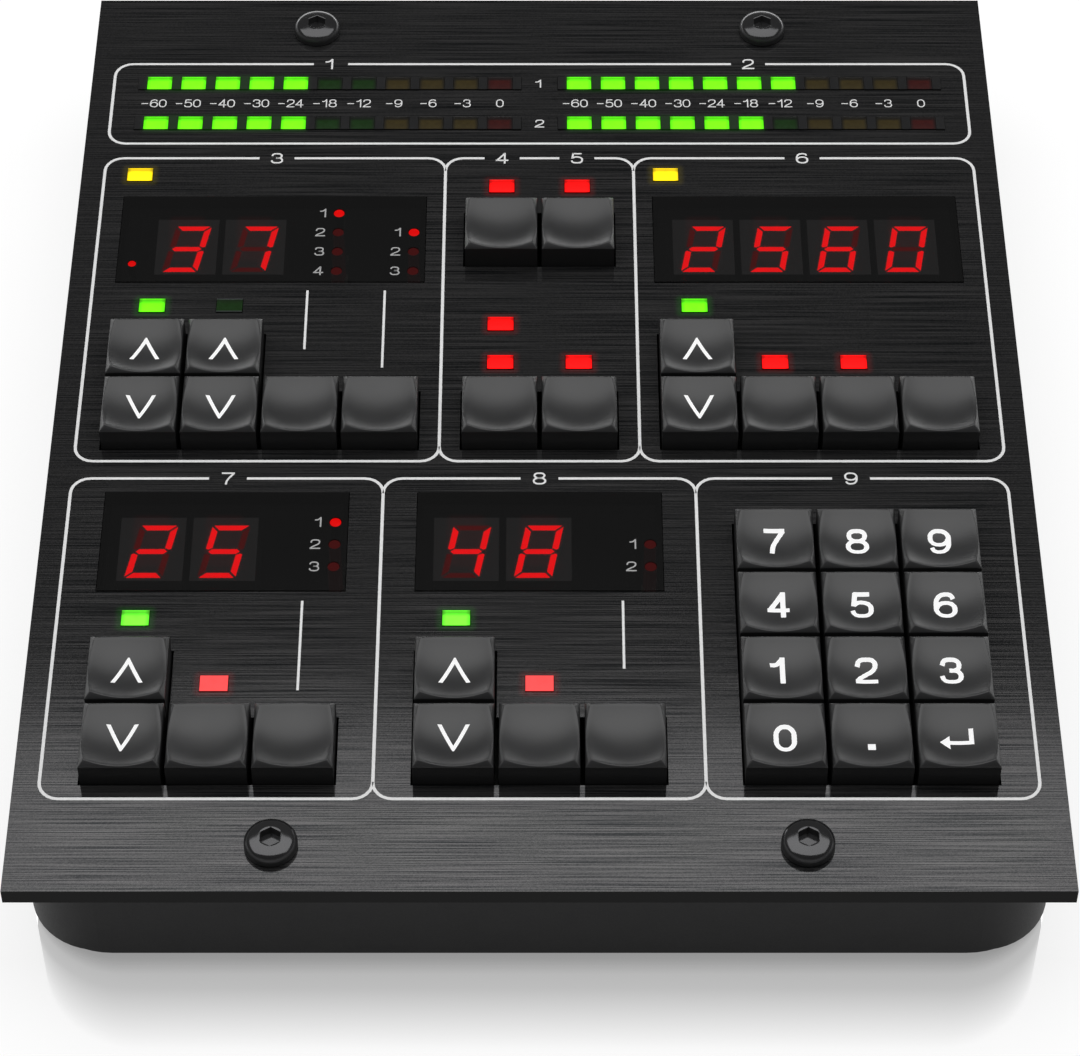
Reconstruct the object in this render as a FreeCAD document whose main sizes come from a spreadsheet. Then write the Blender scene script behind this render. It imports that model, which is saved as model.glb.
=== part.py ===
import FreeCAD, Part
import os
import Sketcher

# A desktop controller for a delay: a brushed faceplate on a low moulded base, 35 keys, ten digits behind
# four dark windows, and rows of small lamps. The origin is on the table, under the middle of the object.
# +X is to the user's right, +Y points away from the user, +Z is up. All sizes are in millimetres.

doc = FreeCAD.newDocument("DelayController")
sheet = doc.addObject("Spreadsheet::Sheet", "Sizes")
V = FreeCAD.Vector


class Length:
    """A number together with the sheet formula that it comes from."""

    def __init__(self, value, text):
        self.value = float(value)
        self.text = text

    def __add__(self, other):
        other = length(other)
        return Length(self.value + other.value, f"({self.text} + {other.text})")

    def __sub__(self, other):
        other = length(other)
        return Length(self.value - other.value, f"({self.text} - {other.text})")

    def __mul__(self, other):
        other = length(other)
        return Length(self.value * other.value, f"({self.text} * {other.text})")

    def __truediv__(self, other):
        other = length(other)
        return Length(self.value / other.value, f"({self.text} / {other.text})")

    def __neg__(self):
        return Length(-self.value, f"(0 - {self.text})")

    def __rmul__(self, other):
        return length(other) * self


def length(number):
    """A plain number as a Length; a Length stays as it is."""
    if isinstance(number, Length):
        return number
    return Length(number, repr(float(number)))


sheet_rows = []


def size(alias, value, meaning):
    """Writes one driving dimension into the sheet and returns it as a Length."""
    row = len(sheet_rows) + 1
    sheet_rows.append(alias)
    sheet.set(f"A{row}", alias)
    sheet.set(f"B{row}", str(value))
    sheet.set(f"C{row}", meaning)
    sheet.setAlias(f"B{row}", alias)
    return Length(value, f"Sizes.{alias}")


# Faceplate and base
plate_thick = size("plate_thick", 2.4, "faceplate sheet")
overhang_side = size("overhang_side", 1.1, "faceplate past the base at the sides")
overhang_end = size("overhang_end", 3.4, "faceplate past the base at front and back")
base_height = size("base_height", 16.2, "base, from its underside to the faceplate")
base_wall = size("base_wall", 2.5, "side walls of the base")
base_floor = size("base_floor", 2.2, "floor of the base")
base_corner = size("base_corner", 9.5, "corner radius of the base, seen from above")
step_height = size("step_height", 0.6, "low step round the underside of the base")
step_corner = size("step_corner", 11.1, "corner radius of the step")

# Feet
foot_height = size("foot_height", 2.8, "space between the table and the base")
foot_seat = size("foot_seat", 0.8, "depth of the foot's seat in the base")
foot_diameter = size("foot_diameter", 12.0, "rubber foot")
foot_chamfer = size("foot_chamfer", 0.6, "chamfer round the foot's sole")
foot_play = size("foot_play", 0.05, "radial play of the foot in its seat")
foot_inset = size("foot_inset", 12.0, "middle of a foot from the sides of the base")

# Panel bolts and their inserts
bolt_span = size("bolt_span", 67.9, "panel bolts, left to right")
bolt_inset = size("bolt_inset", 7.1, "panel bolts from the front and back edges")
bolt_head = size("bolt_head", 6.7, "bolt head diameter")
bolt_head_height = size("bolt_head_height", 2.0, "bolt head height")
bolt_round = size("bolt_round", 0.55, "rounding of the head's rim")
bolt_shank = size("bolt_shank", 4.0, "bolt shank")
bolt_length = size("bolt_length", 10.0, "bolt under its head")
bolt_play = size("bolt_play", 0.15, "radial play in the faceplate")
bolt_room = size("bolt_room", 0.6, "space under the bolt's end")
hex_key = size("hex_key", 2.5, "socket across flats")
hex_depth = size("hex_depth", 1.2, "socket depth")
insert_diameter = size("insert_diameter", 5.2, "brass insert")
insert_length = size("insert_length", 8.0, "brass insert")
thread_play = size("thread_play", 0.05, "radial play where threads are left out")
boss_wall = size("boss_wall", 0.6, "wall of the boss round an insert")

# Circuit board
board_inset_side = size("board_inset_side", 1.5, "gap between the board and the side walls")
board_inset_end = size("board_inset_end", 5.9, "gap between the board and the front and back walls")
board_thick = size("board_thick", 1.6, "board")
board_clearance = size("board_clearance", 4.8, "space under the board")
board_boss = size("board_boss", 6.0, "bosses under the board")
board_hole_play = size("board_hole_play", 0.2, "radial play of the screws in the board")
screw_inset = size("screw_inset", 5.0, "front board screws from the board's front edge")
tab_width = size("tab_width", 14, "tab at the back of the board, under which the socket sits")
tab_reach = size("tab_reach", 5.3, "how far the tab stands out")
screw_head = size("screw_head", 4.6, "board screw head")
screw_head_height = size("screw_head_height", 1.6, "board screw head")
screw_shank = size("screw_shank", 2.5, "board screw shank")
screw_length = size("screw_length", 5.2, "board screw under its head")

# Keys and switches
key_pitch = size("key_pitch", 11.06, "one key to the next")
key_gap = size("key_gap", 0.63, "gap between neighbouring keys")
key_margin = size("key_margin", 0.28, "gap between keys and their opening")
key_side = size("key_side", 3.38, "upright sides above the faceplate")
key_bevel = size("key_bevel", 0.8, "bevel round the top")
dish_radius = size("dish_radius", 13.5, "radius of the finger dish")
dish_height = size("dish_height", 2.58, "lowest point of the dish above the faceplate")
key_wall = size("key_wall", 1.1, "side walls of the key")
key_roof = size("key_roof", 1.4, "key under its dish")
key_tuck = size("key_tuck", 1.6, "key below the faceplate")
key_travel = size("key_travel", 1.1, "how far a key goes down")
stem_diameter = size("stem_diameter", 3.4, "stem under the key")
stem_play = size("stem_play", 0.06, "radial play of the stem in its switch")
stem_reach = size("stem_reach", 1.7, "stem inside its switch at rest")
stem_room = size("stem_room", 0.4, "space under a pressed stem")
switch_size = size("switch_size", 6.2, "switch housing")
switch_height = size("switch_height", 4.0, "switch housing")

# The layout. From front to back it is counted from the faceplate's front edge.
lower_row = size("lower_row", 22.05, "front row of keys from the faceplate's front edge")
section_step = size("section_step", 57.59, "front row of the lower sections to that of the upper sections")
pair_step = size("pair_step", 35.39, "front row of the upper sections to the back pair of keys")
lamp_step = size("lamp_step", 11.0, "a key to the lamp behind it")
single_step = size("single_step", 7.45, "lamps of the upper middle section to the single lamp behind them")
window_space = size("window_space", 3.42, "lamps to the window behind them")
back_space = size("back_space", 3.28, "windows to the yellow lamps behind them")
meter_step = size("meter_step", 24.35, "middles of the upper windows to the front meter bars")
bar_step = size("bar_step", 8.7, "front meter bars to the back ones")
back_margin = size("back_margin", 18.805, "back meter bars to the faceplate's back edge")
side_margin = size("side_margin", 6.645, "upper windows to the faceplate's side edges")
lower_inset = size("lower_inset", 1.62, "lower windows further in than the upper ones")
bar_inset = size("bar_inset", 0.405, "meter bars further in than the upper windows")
bar_middle = size("bar_middle", 5.5, "gap between the left and right meter bars")

# Display windows
window_extra = size("window_extra", 0.05, "windows wider than the row of keys in front of them")
window_depth = size("window_depth", 17.45, "all windows, front to back")
window_play = size("window_play", 0.1, "gap round a window")
window_proud = size("window_proud", 0.15, "windows above the faceplate")
window_glass = size("window_glass", 1.6, "window over the digits")
window_wall = size("window_wall", 0.8, "side walls of the window")
flange = size("flange", 0.6, "flanges under the faceplate, width")
flange_thick = size("flange_thick", 0.8, "flanges under the faceplate, thickness")

# Digits
digit_pitch = size("digit_pitch", 9.83, "one digit to the next")
digit_space = size("digit_space", 0.98, "gap between digit modules")
digit_depth = size("digit_depth", 11.2, "digit module, front to back")
digit_air = size("digit_air", 0.15, "air between digits and window")
two_digits_shift = size("two_digits_shift", -7.64, "digits from the middle of the upper left window")
four_digits_shift = size("four_digits_shift", -0.13, "digits from the middle of the upper right window")
low_digits_shift = size("low_digits_shift", -5.0, "digits from the middles of the lower windows")

# Level meters
lens_width = size("lens_width", 3.74, "meter lens, left to right")
bar_depth = size("bar_depth", 2.75, "meter bar, front to back")
bar_end = size("bar_end", 1.33, "end of a meter bar past its last lens")
lamp_play = size("lamp_play", 0.05, "gap round lenses and light pipes")
lamp_proud = size("lamp_proud", 0.2, "lamps above the faceplate")
pipe_inset = size("pipe_inset", 0.35, "light pipes are slimmer under the faceplate")

# Single lamps
lamp_width = size("lamp_width", 3.75, "lamp, left to right")
lamp_depth = size("lamp_depth", 2.6, "lamp, front to back")
left_lamp_inset = size("left_lamp_inset", 2.0, "yellow lamp from the left edge of the upper left window")
right_lamp_inset = size("right_lamp_inset", 2.0, "yellow lamp from the left edge of the upper right window")

# Round lamps in the windows
dot_diameter = size("dot_diameter", 1.6, "round lamp")
dot_pitch = size("dot_pitch", 3.93, "one round lamp to the next")
dot_inset = size("dot_inset", 1.67, "round lamps from a window's right edge")
dot_shift = size("dot_shift", 9.47, "middle column of round lamps from the middle of the upper left window")
dot_step = size("dot_step", 5.23, "back row of round lamps from the middle of the upper left window")
low_dot_step = size("low_dot_step", 3.33, "back row of round lamps from the middles of the lower windows")
point_diameter = size("point_diameter", 1.2, "small round lamp")
point_inset = size("point_inset", 2.085, "small round lamp from the left edge of the upper left window")
point_step = size("point_step", 5.07, "small round lamp in front of that window's middle")

# Chips and the socket at the back
led_width = size("led_width", 2.0, "lamp chip, left to right")
led_depth = size("led_depth", 1.25, "lamp chip, front to back")
led_height = size("led_height", 0.8, "lamp chip")
led_air = size("led_air", 0.2, "air between a lamp chip and its light pipe")
controller_size = size("controller_size", 10, "controller chip")
controller_thick = size("controller_thick", 1.2, "controller chip")
controller_y = size("controller_y", 35, "controller chip")
driver_width = size("driver_width", 5.3, "driver chip, left to right")
driver_depth = size("driver_depth", 7.5, "driver chip, front to back")
driver_thick = size("driver_thick", 1.7, "driver chip")
driver_x = size("driver_x", 38, "driver chips")
driver_back_y = size("driver_back_y", 30, "back pair of driver chips")
driver_front_y = size("driver_front_y", -20, "front pair of driver chips")
socket_width = size("socket_width", 8.94, "socket shell")
socket_height = size("socket_height", 3.26, "socket shell")
socket_flat = size("socket_flat", 0.26, "straight part of the shell's short sides")
socket_wall = size("socket_wall", 0.3, "socket shell")
socket_length = size("socket_length", 7.4, "socket, front to back")
socket_end = size("socket_end", 0.6, "closed end of the socket")
socket_recess = size("socket_recess", 0.15, "socket's mouth inside the back of the base")
socket_play = size("socket_play", 0.25, "gap round the socket in the base")
tongue_width = size("tongue_width", 6.7, "tongue in the socket")
tongue_thick = size("tongue_thick", 0.7, "tongue in the socket")
tongue_length = size("tongue_length", 4.5, "tongue in the socket")
doc.recompute()

# Heights above the table
base_bottom = foot_height
base_top = base_bottom + base_height
plate_top = base_top + plate_thick
floor_top = base_bottom + base_floor
board_bottom = floor_top + board_clearance
board_top = board_bottom + board_thick
pipe_bottom = board_top + led_height + led_air
flange_bottom = base_top - flange_thick
window_top = plate_top + window_proud
glass_bottom = window_top - window_glass
lamp_top = plate_top + lamp_proud
switch_top = board_top + switch_height
stem_bottom = switch_top - stem_reach
socket_middle = board_bottom - socket_height / 2

# Left to right: the windows are as wide as the rows of keys in front of them
zero = length(0)
key_size = key_pitch - key_gap
window_wide = 4 * key_pitch + window_extra
window_narrow = 3 * key_pitch + window_extra
upper_x = 3.5 * key_pitch
windows_end = upper_x + window_wide / 2
lower_x = windows_end - lower_inset - window_narrow / 2
lens_count = 11
bar_length = windows_end - bar_inset - bar_middle / 2
bar_x = (bar_length + bar_middle) / 2
lens_pitch = (bar_length - 2 * bar_end - lens_width) / (lens_count - 1)
lens_space = lens_pitch - lens_width
lens_depth = bar_depth - lamp_play
digit_width = digit_pitch - digit_space
plate_width = 2 * (windows_end + side_margin)

# Front to back, from the front edge
window_step = key_pitch + lamp_step + lamp_depth / 2 + window_space + window_depth / 2
upper_row = lower_row + section_step
bar_front = upper_row + window_step + meter_step
plate_depth = bar_front + bar_step + back_margin

# The same, from the middle of the faceplate
front = -plate_depth / 2
lower_row_y = front + lower_row
upper_row_y = front + upper_row
pair_row_y = upper_row_y + pair_step
upper_window_y = upper_row_y + window_step
lower_window_y = lower_row_y + window_step
bar_front_y = front + bar_front
bar_back_y = bar_front_y + bar_step
back_lamp_y = upper_window_y + window_depth / 2 + back_space + lamp_depth / 2
middle_lamp_y = upper_row_y + lamp_step

# Base, board, bolts and feet
base_width = plate_width - 2 * overhang_side
base_depth = plate_depth - 2 * overhang_end
inner_width = base_width - 2 * base_wall
inner_depth = base_depth - 2 * base_wall
board_width = inner_width - 2 * board_inset_side
board_depth = inner_depth - 2 * board_inset_end
bolt_x = bolt_span / 2
bolt_y = plate_depth / 2 - bolt_inset
foot_x = base_width / 2 - foot_inset
foot_y = base_depth / 2 - foot_inset
screw_room = (board_clearance + board_thick - screw_length) / 2


# Loose primitives


def bind(thing, prop, amount):
    """Ties one property of an object to the sheet."""
    thing.setExpression(prop, length(amount).text)


def place(thing, x, y, z):
    """Ties an object's place to the sheet."""
    bind(thing, "Placement.Base.x", x)
    bind(thing, "Placement.Base.y", y)
    bind(thing, "Placement.Base.z", z)


def block(name, width, depth, height, x, y, z):
    """A box centred on x and y, standing on z."""
    thing = doc.addObject("Part::Box", name)
    bind(thing, "Length", width)
    bind(thing, "Width", depth)
    bind(thing, "Height", height)
    place(thing, x - width / 2, y - depth / 2, z)
    return thing


def rod(name, diameter, height, x, y, z):
    """An upright cylinder standing on z."""
    thing = doc.addObject("Part::Cylinder", name)
    bind(thing, "Radius", diameter / 2)
    bind(thing, "Height", height)
    place(thing, x, y, z)
    return thing


def fuse(name, pieces):
    thing = doc.addObject("Part::MultiFuse", name)
    thing.Shapes = pieces
    return thing


def group(name, pieces):
    """Separate solids kept together as one sub-part."""
    thing = doc.addObject("Part::Compound", name)
    thing.Links = pieces
    return thing


def cut(name, base, tool):
    thing = doc.addObject("Part::Cut", name)
    thing.Base = base
    thing.Tool = tool
    return thing


# Bodies


def new_body(name):
    return doc.addObject("PartDesign::Body", name)


def sketch_on(body, name, height, plane="XY_Plane"):
    """A sketch parallel to an origin plane of the body, moved along that plane's normal."""
    sketch = body.newObject("Sketcher::SketchObject", name)
    support = [item for item in body.Origin.OriginFeatures if item.Role == plane][0]
    sketch.AttachmentSupport = [(support, "")]
    sketch.MapMode = "FlatFace"
    bind(sketch, "AttachmentOffset.Base.z", height)
    return sketch


def dimension(sketch, kind, *where, amount):
    """One driving constraint, tied to the sheet."""
    index = sketch.addConstraint(Sketcher.Constraint(kind, *where, amount.value))
    sketch.setExpression(f"Constraints[{index}]", amount.text)


def draw_circles(sketch, diameter, places):
    for x, y in places:
        circle = Part.Circle(V(x.value, y.value, 0), V(0, 0, 1), diameter.value / 2)
        shape = sketch.addGeometry(circle, False)
        dimension(sketch, "Diameter", shape, amount=diameter)
        dimension(sketch, "DistanceX", -1, 1, shape, 3, amount=x)
        dimension(sketch, "DistanceY", -1, 1, shape, 3, amount=y)


def draw_rounded(sketch, width, depth, corner, y=0):
    """A rectangle with rounded corners, centred on x = 0."""
    right = width / 2 - corner
    back = length(y) + depth / 2 - corner
    front = length(y) - depth / 2 + corner
    quarter = 1.5707963267948966
    centres = [(right, front), (right, back), (-right, back), (-right, front)]
    arcs = []
    for turn, (across, along) in enumerate(centres, -1):
        circle = Part.Circle(V(across.value, along.value, 0), V(0, 0, 1), corner.value)
        arc = Part.ArcOfCircle(circle, turn * quarter, (turn + 1) * quarter)
        arcs.append(sketch.addGeometry(arc, False))
    for index, arc in enumerate(arcs):
        following = arcs[(index + 1) % 4]
        ends = (sketch.getPoint(arc, 2), sketch.getPoint(following, 1))
        line = sketch.addGeometry(Part.LineSegment(*ends), False)
        sketch.addConstraint(Sketcher.Constraint("Tangent", arc, 2, line, 1))
        sketch.addConstraint(Sketcher.Constraint("Tangent", line, 2, following, 1))
        upright = "Vertical" if index % 2 == 0 else "Horizontal"
        sketch.addConstraint(Sketcher.Constraint(upright, line))
        if index > 0:
            sketch.addConstraint(Sketcher.Constraint("Equal", arcs[0], arc))
    dimension(sketch, "Radius", arcs[0], amount=corner)
    for arc, (across, along) in ((arcs[1], centres[1]), (arcs[3], centres[3])):
        dimension(sketch, "DistanceX", -1, 1, arc, 3, amount=across)
        dimension(sketch, "DistanceY", -1, 1, arc, 3, amount=along)


def pad(body, name, sketch, height):
    feature = body.newObject("PartDesign::Pad", name)
    feature.Profile = sketch
    bind(feature, "Length", height)
    return feature


def pocket(body, name, sketch, depth, along_normal=False):
    """Cuts against the sketch's normal, or along it."""
    feature = body.newObject("PartDesign::Pocket", name)
    feature.Profile = sketch
    feature.Reversed = along_normal
    bind(feature, "Length", depth)
    return feature


def feature_at(body, kind, name, x, y, z, **sizes):
    """A ready-made feature of a body, such as a box to add or a sphere to cut."""
    feature = body.newObject(f"PartDesign::{kind}", name)
    for prop, amount in sizes.items():
        bind(feature, prop, amount)
    place(feature, x, y, z)
    return feature


def level_faces(feature, height):
    """The names of a feature's level faces at one height."""
    tolerance = 1e-4
    names = []
    for index, face in enumerate(feature.Shape.Faces, 1):
        box = face.BoundBox
        if abs(box.ZMin - height.value) < tolerance and box.ZLength < tolerance:
            names.append(f"Face{index}")
    return names


def round_off(body, kind, name, feature, height, amount):
    """Fillets or chamfers the edges of the level faces at one height."""
    doc.recompute()
    edge = body.newObject(f"PartDesign::{kind}", name)
    edge.Base = (feature, level_faces(feature, height))
    bind(edge, "Radius" if kind == "Fillet" else "Size", amount)
    return edge


def corners(x, y):
    """Four places, mirrored from one."""
    return [(-x, -y), (x, -y), (-x, y), (x, y)]


# Where the keys are: the middle of the section's front row, then columns and rows in pitches from it.
# Each group of keys shares one opening in the faceplate, and some keys are in two groups.
key_groups = [
    ("upper_left_row", -upper_x, upper_row_y, {
        "upper_left_down_key_1": (-1.5, 0), "upper_left_down_key_2": (-0.5, 0),
        "upper_left_select_key_1": (0.5, 0), "upper_left_select_key_2": (1.5, 0),
    }),
    ("upper_left_values", -upper_x, upper_row_y, {
        "upper_left_up_key_1": (-1.5, 1), "upper_left_up_key_2": (-0.5, 1),
        "upper_left_down_key_1": (-1.5, 0), "upper_left_down_key_2": (-0.5, 0),
    }),
    ("upper_middle_front", zero, upper_row_y, {
        "upper_middle_front_key_1": (-0.5, 0), "upper_middle_front_key_2": (0.5, 0),
    }),
    ("upper_middle_back", zero, pair_row_y, {
        "upper_middle_back_key_1": (-0.5, 0), "upper_middle_back_key_2": (0.5, 0),
    }),
    ("upper_right_row", upper_x, upper_row_y, {
        "upper_right_down_key": (-1.5, 0), "upper_right_select_key_1": (-0.5, 0),
        "upper_right_select_key_2": (0.5, 0), "upper_right_select_key_3": (1.5, 0),
    }),
    ("upper_right_values", upper_x, upper_row_y, {
        "upper_right_up_key": (-1.5, 1), "upper_right_down_key": (-1.5, 0),
    }),
    ("lower_left_row", -lower_x, lower_row_y, {
        "lower_left_down_key": (-1, 0), "lower_left_select_key_1": (0, 0),
        "lower_left_select_key_2": (1, 0),
    }),
    ("lower_left_values", -lower_x, lower_row_y, {
        "lower_left_up_key": (-1, 1), "lower_left_down_key": (-1, 0),
    }),
    ("lower_middle_row", zero, lower_row_y, {
        "lower_middle_down_key": (-1, 0), "lower_middle_select_key_1": (0, 0),
        "lower_middle_select_key_2": (1, 0),
    }),
    ("lower_middle_values", zero, lower_row_y, {
        "lower_middle_up_key": (-1, 1), "lower_middle_down_key": (-1, 0),
    }),
    ("keypad", lower_x, lower_row_y, {
        "keypad_0_key": (-1, 0), "keypad_point_key": (0, 0), "keypad_return_key": (1, 0),
        "keypad_1_key": (-1, 1), "keypad_2_key": (0, 1), "keypad_3_key": (1, 1),
        "keypad_4_key": (-1, 2), "keypad_5_key": (0, 2), "keypad_6_key": (1, 2),
        "keypad_7_key": (-1, 3), "keypad_8_key": (0, 3), "keypad_9_key": (1, 3),
    }),
]
key_places = {}
for group_name, origin_x, origin_y, members in key_groups:
    for key_name, (column, row) in members.items():
        key_places[key_name] = (origin_x + column * key_pitch, origin_y + row * key_pitch)

windows = {
    "upper_left": (window_wide, -upper_x, upper_window_y),
    "upper_right": (window_wide, upper_x, upper_window_y),
    "lower_left": (window_narrow, -lower_x, lower_window_y),
    "lower_middle": (window_narrow, zero, lower_window_y),
}
digit_rows = {
    "upper_left": (two_digits_shift, ["tens", "units"]),
    "upper_right": (four_digits_shift, ["thousands", "hundreds", "tens", "units"]),
    "lower_left": (low_digits_shift, ["tens", "units"]),
    "lower_middle": (low_digits_shift, ["tens", "units"]),
}
bars = {
    "left_back": (-bar_x, bar_back_y),
    "left_front": (-bar_x, bar_front_y),
    "right_back": (bar_x, bar_back_y),
    "right_front": (bar_x, bar_front_y),
}
lens_colours = ["green"] * 7 + ["amber"] * 3 + ["red"]


def behind(key_name):
    """The place of the lamp behind a key."""
    x, y = key_places[key_name]
    return x, y + lamp_step


lamps = {
    "yellow": [
        (-windows_end + left_lamp_inset, back_lamp_y),
        (upper_x - window_wide / 2 + right_lamp_inset, back_lamp_y),
    ],
    "green": [behind(name) for name in key_places if "_up_key" in name],
    "red": [
        behind("upper_middle_back_key_1"), behind("upper_middle_back_key_2"),
        behind("upper_middle_front_key_1"), behind("upper_middle_front_key_2"),
        (-key_pitch / 2, middle_lamp_y + single_step),
        behind("upper_right_select_key_1"), behind("upper_right_select_key_2"),
        behind("lower_left_select_key_1"), behind("lower_middle_select_key_1"),
    ],
}

# Round lamps: diameter, x, y
dots = [(point_diameter, -windows_end + point_inset, upper_window_y - point_step)]
for step in range(4):
    dots.append((dot_diameter, -upper_x + dot_shift, upper_window_y + dot_step - step * dot_pitch))
for step in range(1, 4):
    right_edge = -upper_x + window_wide / 2
    dots.append((dot_diameter, right_edge - dot_inset, upper_window_y + dot_step - step * dot_pitch))
for step in range(3):
    right_edge = -lower_x + window_narrow / 2
    dots.append((dot_diameter, right_edge - dot_inset, lower_window_y + low_dot_step - step * dot_pitch))
for step in range(1, 3):
    right_edge = window_narrow / 2
    dots.append((dot_diameter, right_edge - dot_inset, lower_window_y + low_dot_step - step * dot_pitch))

# The board is screwed down in front, between the keys and between the meter bars
screw_places = []
for side in (-1, 1):
    screw_places.append((side * lower_x / 2, -board_depth / 2 + screw_inset))
    screw_places.append((side * key_pitch * 1.25, upper_row_y + key_pitch / 2))
    screw_places.append((side * bar_x, bar_front_y + bar_step / 2))

parts = {}


def lens_places(colour):
    """The middles of all meter lenses of one colour."""
    places = []
    for x, y in bars.values():
        for index, own in enumerate(lens_colours):
            if own == colour:
                places.append((x + (index - (lens_count - 1) / 2) * lens_pitch, y))
    return places


def through_plate(name, width, depth, x, y):
    """A tool that is taller than the faceplate on both sides."""
    return block(f"opening_{name}", width, depth, plate_thick * 3, x, y, base_top - plate_thick)


def make_faceplate():
    """A flat sheet with openings for keys, windows, meter bars, lamps and bolts."""
    blank = block("faceplate_blank", plate_width, plate_depth, plate_thick, zero, zero, base_top)
    key_openings = []
    for name, x, y, members in key_groups:
        columns = [column for column, row in members.values()]
        rows = [row for column, row in members.values()]
        wide = (max(columns) - min(columns)) * key_pitch + key_size + 2 * key_margin
        deep = (max(rows) - min(rows)) * key_pitch + key_size + 2 * key_margin
        middle_x = x + (max(columns) + min(columns)) / 2 * key_pitch
        middle_y = y + (max(rows) + min(rows)) / 2 * key_pitch
        key_openings.append(through_plate(name, wide, deep, middle_x, middle_y))
    others = []
    for name, (width, x, y) in windows.items():
        gap = 2 * window_play
        others.append(through_plate(f"window_{name}", width + gap, window_depth + gap, x, y))
    gap = 2 * lamp_play
    for name, (x, y) in bars.items():
        others.append(through_plate(f"bar_{name}", bar_length + gap, bar_depth + gap, x, y))
    for colour, places in lamps.items():
        for x, y in places:
            others.append(through_plate(colour, lamp_width + gap, lamp_depth + gap, x, y))
    for x, y in corners(bolt_x, bolt_y):
        hole = bolt_shank + 2 * bolt_play
        others.append(rod("opening_bolt", hole, plate_thick * 3, x, y, base_top - plate_thick))
    openings = group("faceplate_openings", [fuse("key_openings", key_openings)] + others)
    parts["faceplate"] = cut("faceplate", blank, openings)


def make_base():
    """A moulded tub, open at the top, with bosses for the panel bolts and for the board."""
    body = new_body("base_tub")
    sketch = sketch_on(body, "wall_outline", base_bottom + step_height)
    draw_rounded(sketch, base_width, base_depth, base_corner)
    pad(body, "walls", sketch, base_height - step_height)
    sketch = sketch_on(body, "step_outline", base_bottom)
    draw_rounded(sketch, base_width, base_depth, step_corner)
    pad(body, "step", sketch, step_height)
    sketch = sketch_on(body, "cavity_outline", base_top)
    draw_rounded(sketch, inner_width, inner_depth, base_corner - base_wall)
    pocket(body, "cavity", sketch, base_height - base_floor)
    sketch = sketch_on(body, "bolt_boss_outline", floor_top)
    draw_circles(sketch, insert_diameter + 2 * boss_wall, corners(bolt_x, bolt_y))
    pad(body, "bolt_bosses", sketch, base_height - base_floor)
    sketch = sketch_on(body, "insert_outline", base_top)
    draw_circles(sketch, insert_diameter, corners(bolt_x, bolt_y))
    pocket(body, "insert_bores", sketch, insert_length)
    sketch = sketch_on(body, "bolt_end_outline", base_top)
    draw_circles(sketch, bolt_shank + 2 * thread_play, corners(bolt_x, bolt_y))
    pocket(body, "bolt_ends", sketch, bolt_length - plate_thick + bolt_room)
    sketch = sketch_on(body, "board_boss_outline", floor_top)
    draw_circles(sketch, board_boss, screw_places)
    pad(body, "board_bosses", sketch, board_clearance)
    sketch = sketch_on(body, "screw_outline", board_bottom)
    draw_circles(sketch, screw_shank + 2 * thread_play, screw_places)
    pocket(body, "screw_bores", sketch, board_clearance - screw_room)
    sketch = sketch_on(body, "seat_outline", base_bottom)
    draw_circles(sketch, foot_diameter + 2 * foot_play, corners(foot_x, foot_y))
    pocket(body, "foot_seats", sketch, foot_seat, along_normal=True)
    sketch = sketch_on(body, "socket_outline", -inner_depth / 2, "XZ_Plane")
    gap = 2 * socket_play
    draw_rounded(sketch, socket_width + gap, socket_height + gap,
                 (socket_height - socket_flat) / 2 + socket_play, socket_middle)
    pocket(body, "socket_hole", sketch, base_wall * 2)
    parts["base_tub"] = body


def make_feet():
    """Four rubber feet with chamfered soles, glued into their seats."""
    body = new_body("rubber_feet")
    sketch = sketch_on(body, "foot_outline", 0)
    draw_circles(sketch, foot_diameter, corners(foot_x, foot_y))
    feet = pad(body, "feet", sketch, foot_height + foot_seat)
    round_off(body, "Chamfer", "foot_chamfers", feet, zero, foot_chamfer)
    parts["rubber_feet"] = body


def make_bolts():
    """Four low-head socket bolts through the faceplate, and the inserts that they screw into."""
    places = corners(bolt_x, bolt_y)
    body = new_body("panel_bolts")
    sketch = sketch_on(body, "head_outline", plate_top)
    draw_circles(sketch, bolt_head, places)
    heads = pad(body, "heads", sketch, bolt_head_height)
    round_off(body, "Fillet", "head_rims", heads, plate_top + bolt_head_height, bolt_round)
    sketch = sketch_on(body, "shank_outline", plate_top - bolt_length)
    draw_circles(sketch, bolt_shank, places)
    pad(body, "shanks", sketch, bolt_length)
    for x, y in places:
        depth = plate_top + bolt_head_height - hex_depth
        across_corners = hex_key / 1.7320508075688772
        socket = feature_at(body, "SubtractivePrism", "hex_socket", x, y, depth,
                            Circumradius=across_corners, Height=hex_depth * 2)
        socket.Polygon = 6
        socket.Placement.Rotation = FreeCAD.Rotation(V(0, 0, 1), 30)
    parts["panel_bolts"] = body
    body = new_body("threaded_inserts")
    sketch = sketch_on(body, "insert_outline", base_top - insert_length)
    draw_circles(sketch, insert_diameter, places)
    draw_circles(sketch, bolt_shank + 2 * thread_play, places)
    pad(body, "inserts", sketch, insert_length)
    parts["threaded_inserts"] = body


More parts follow.
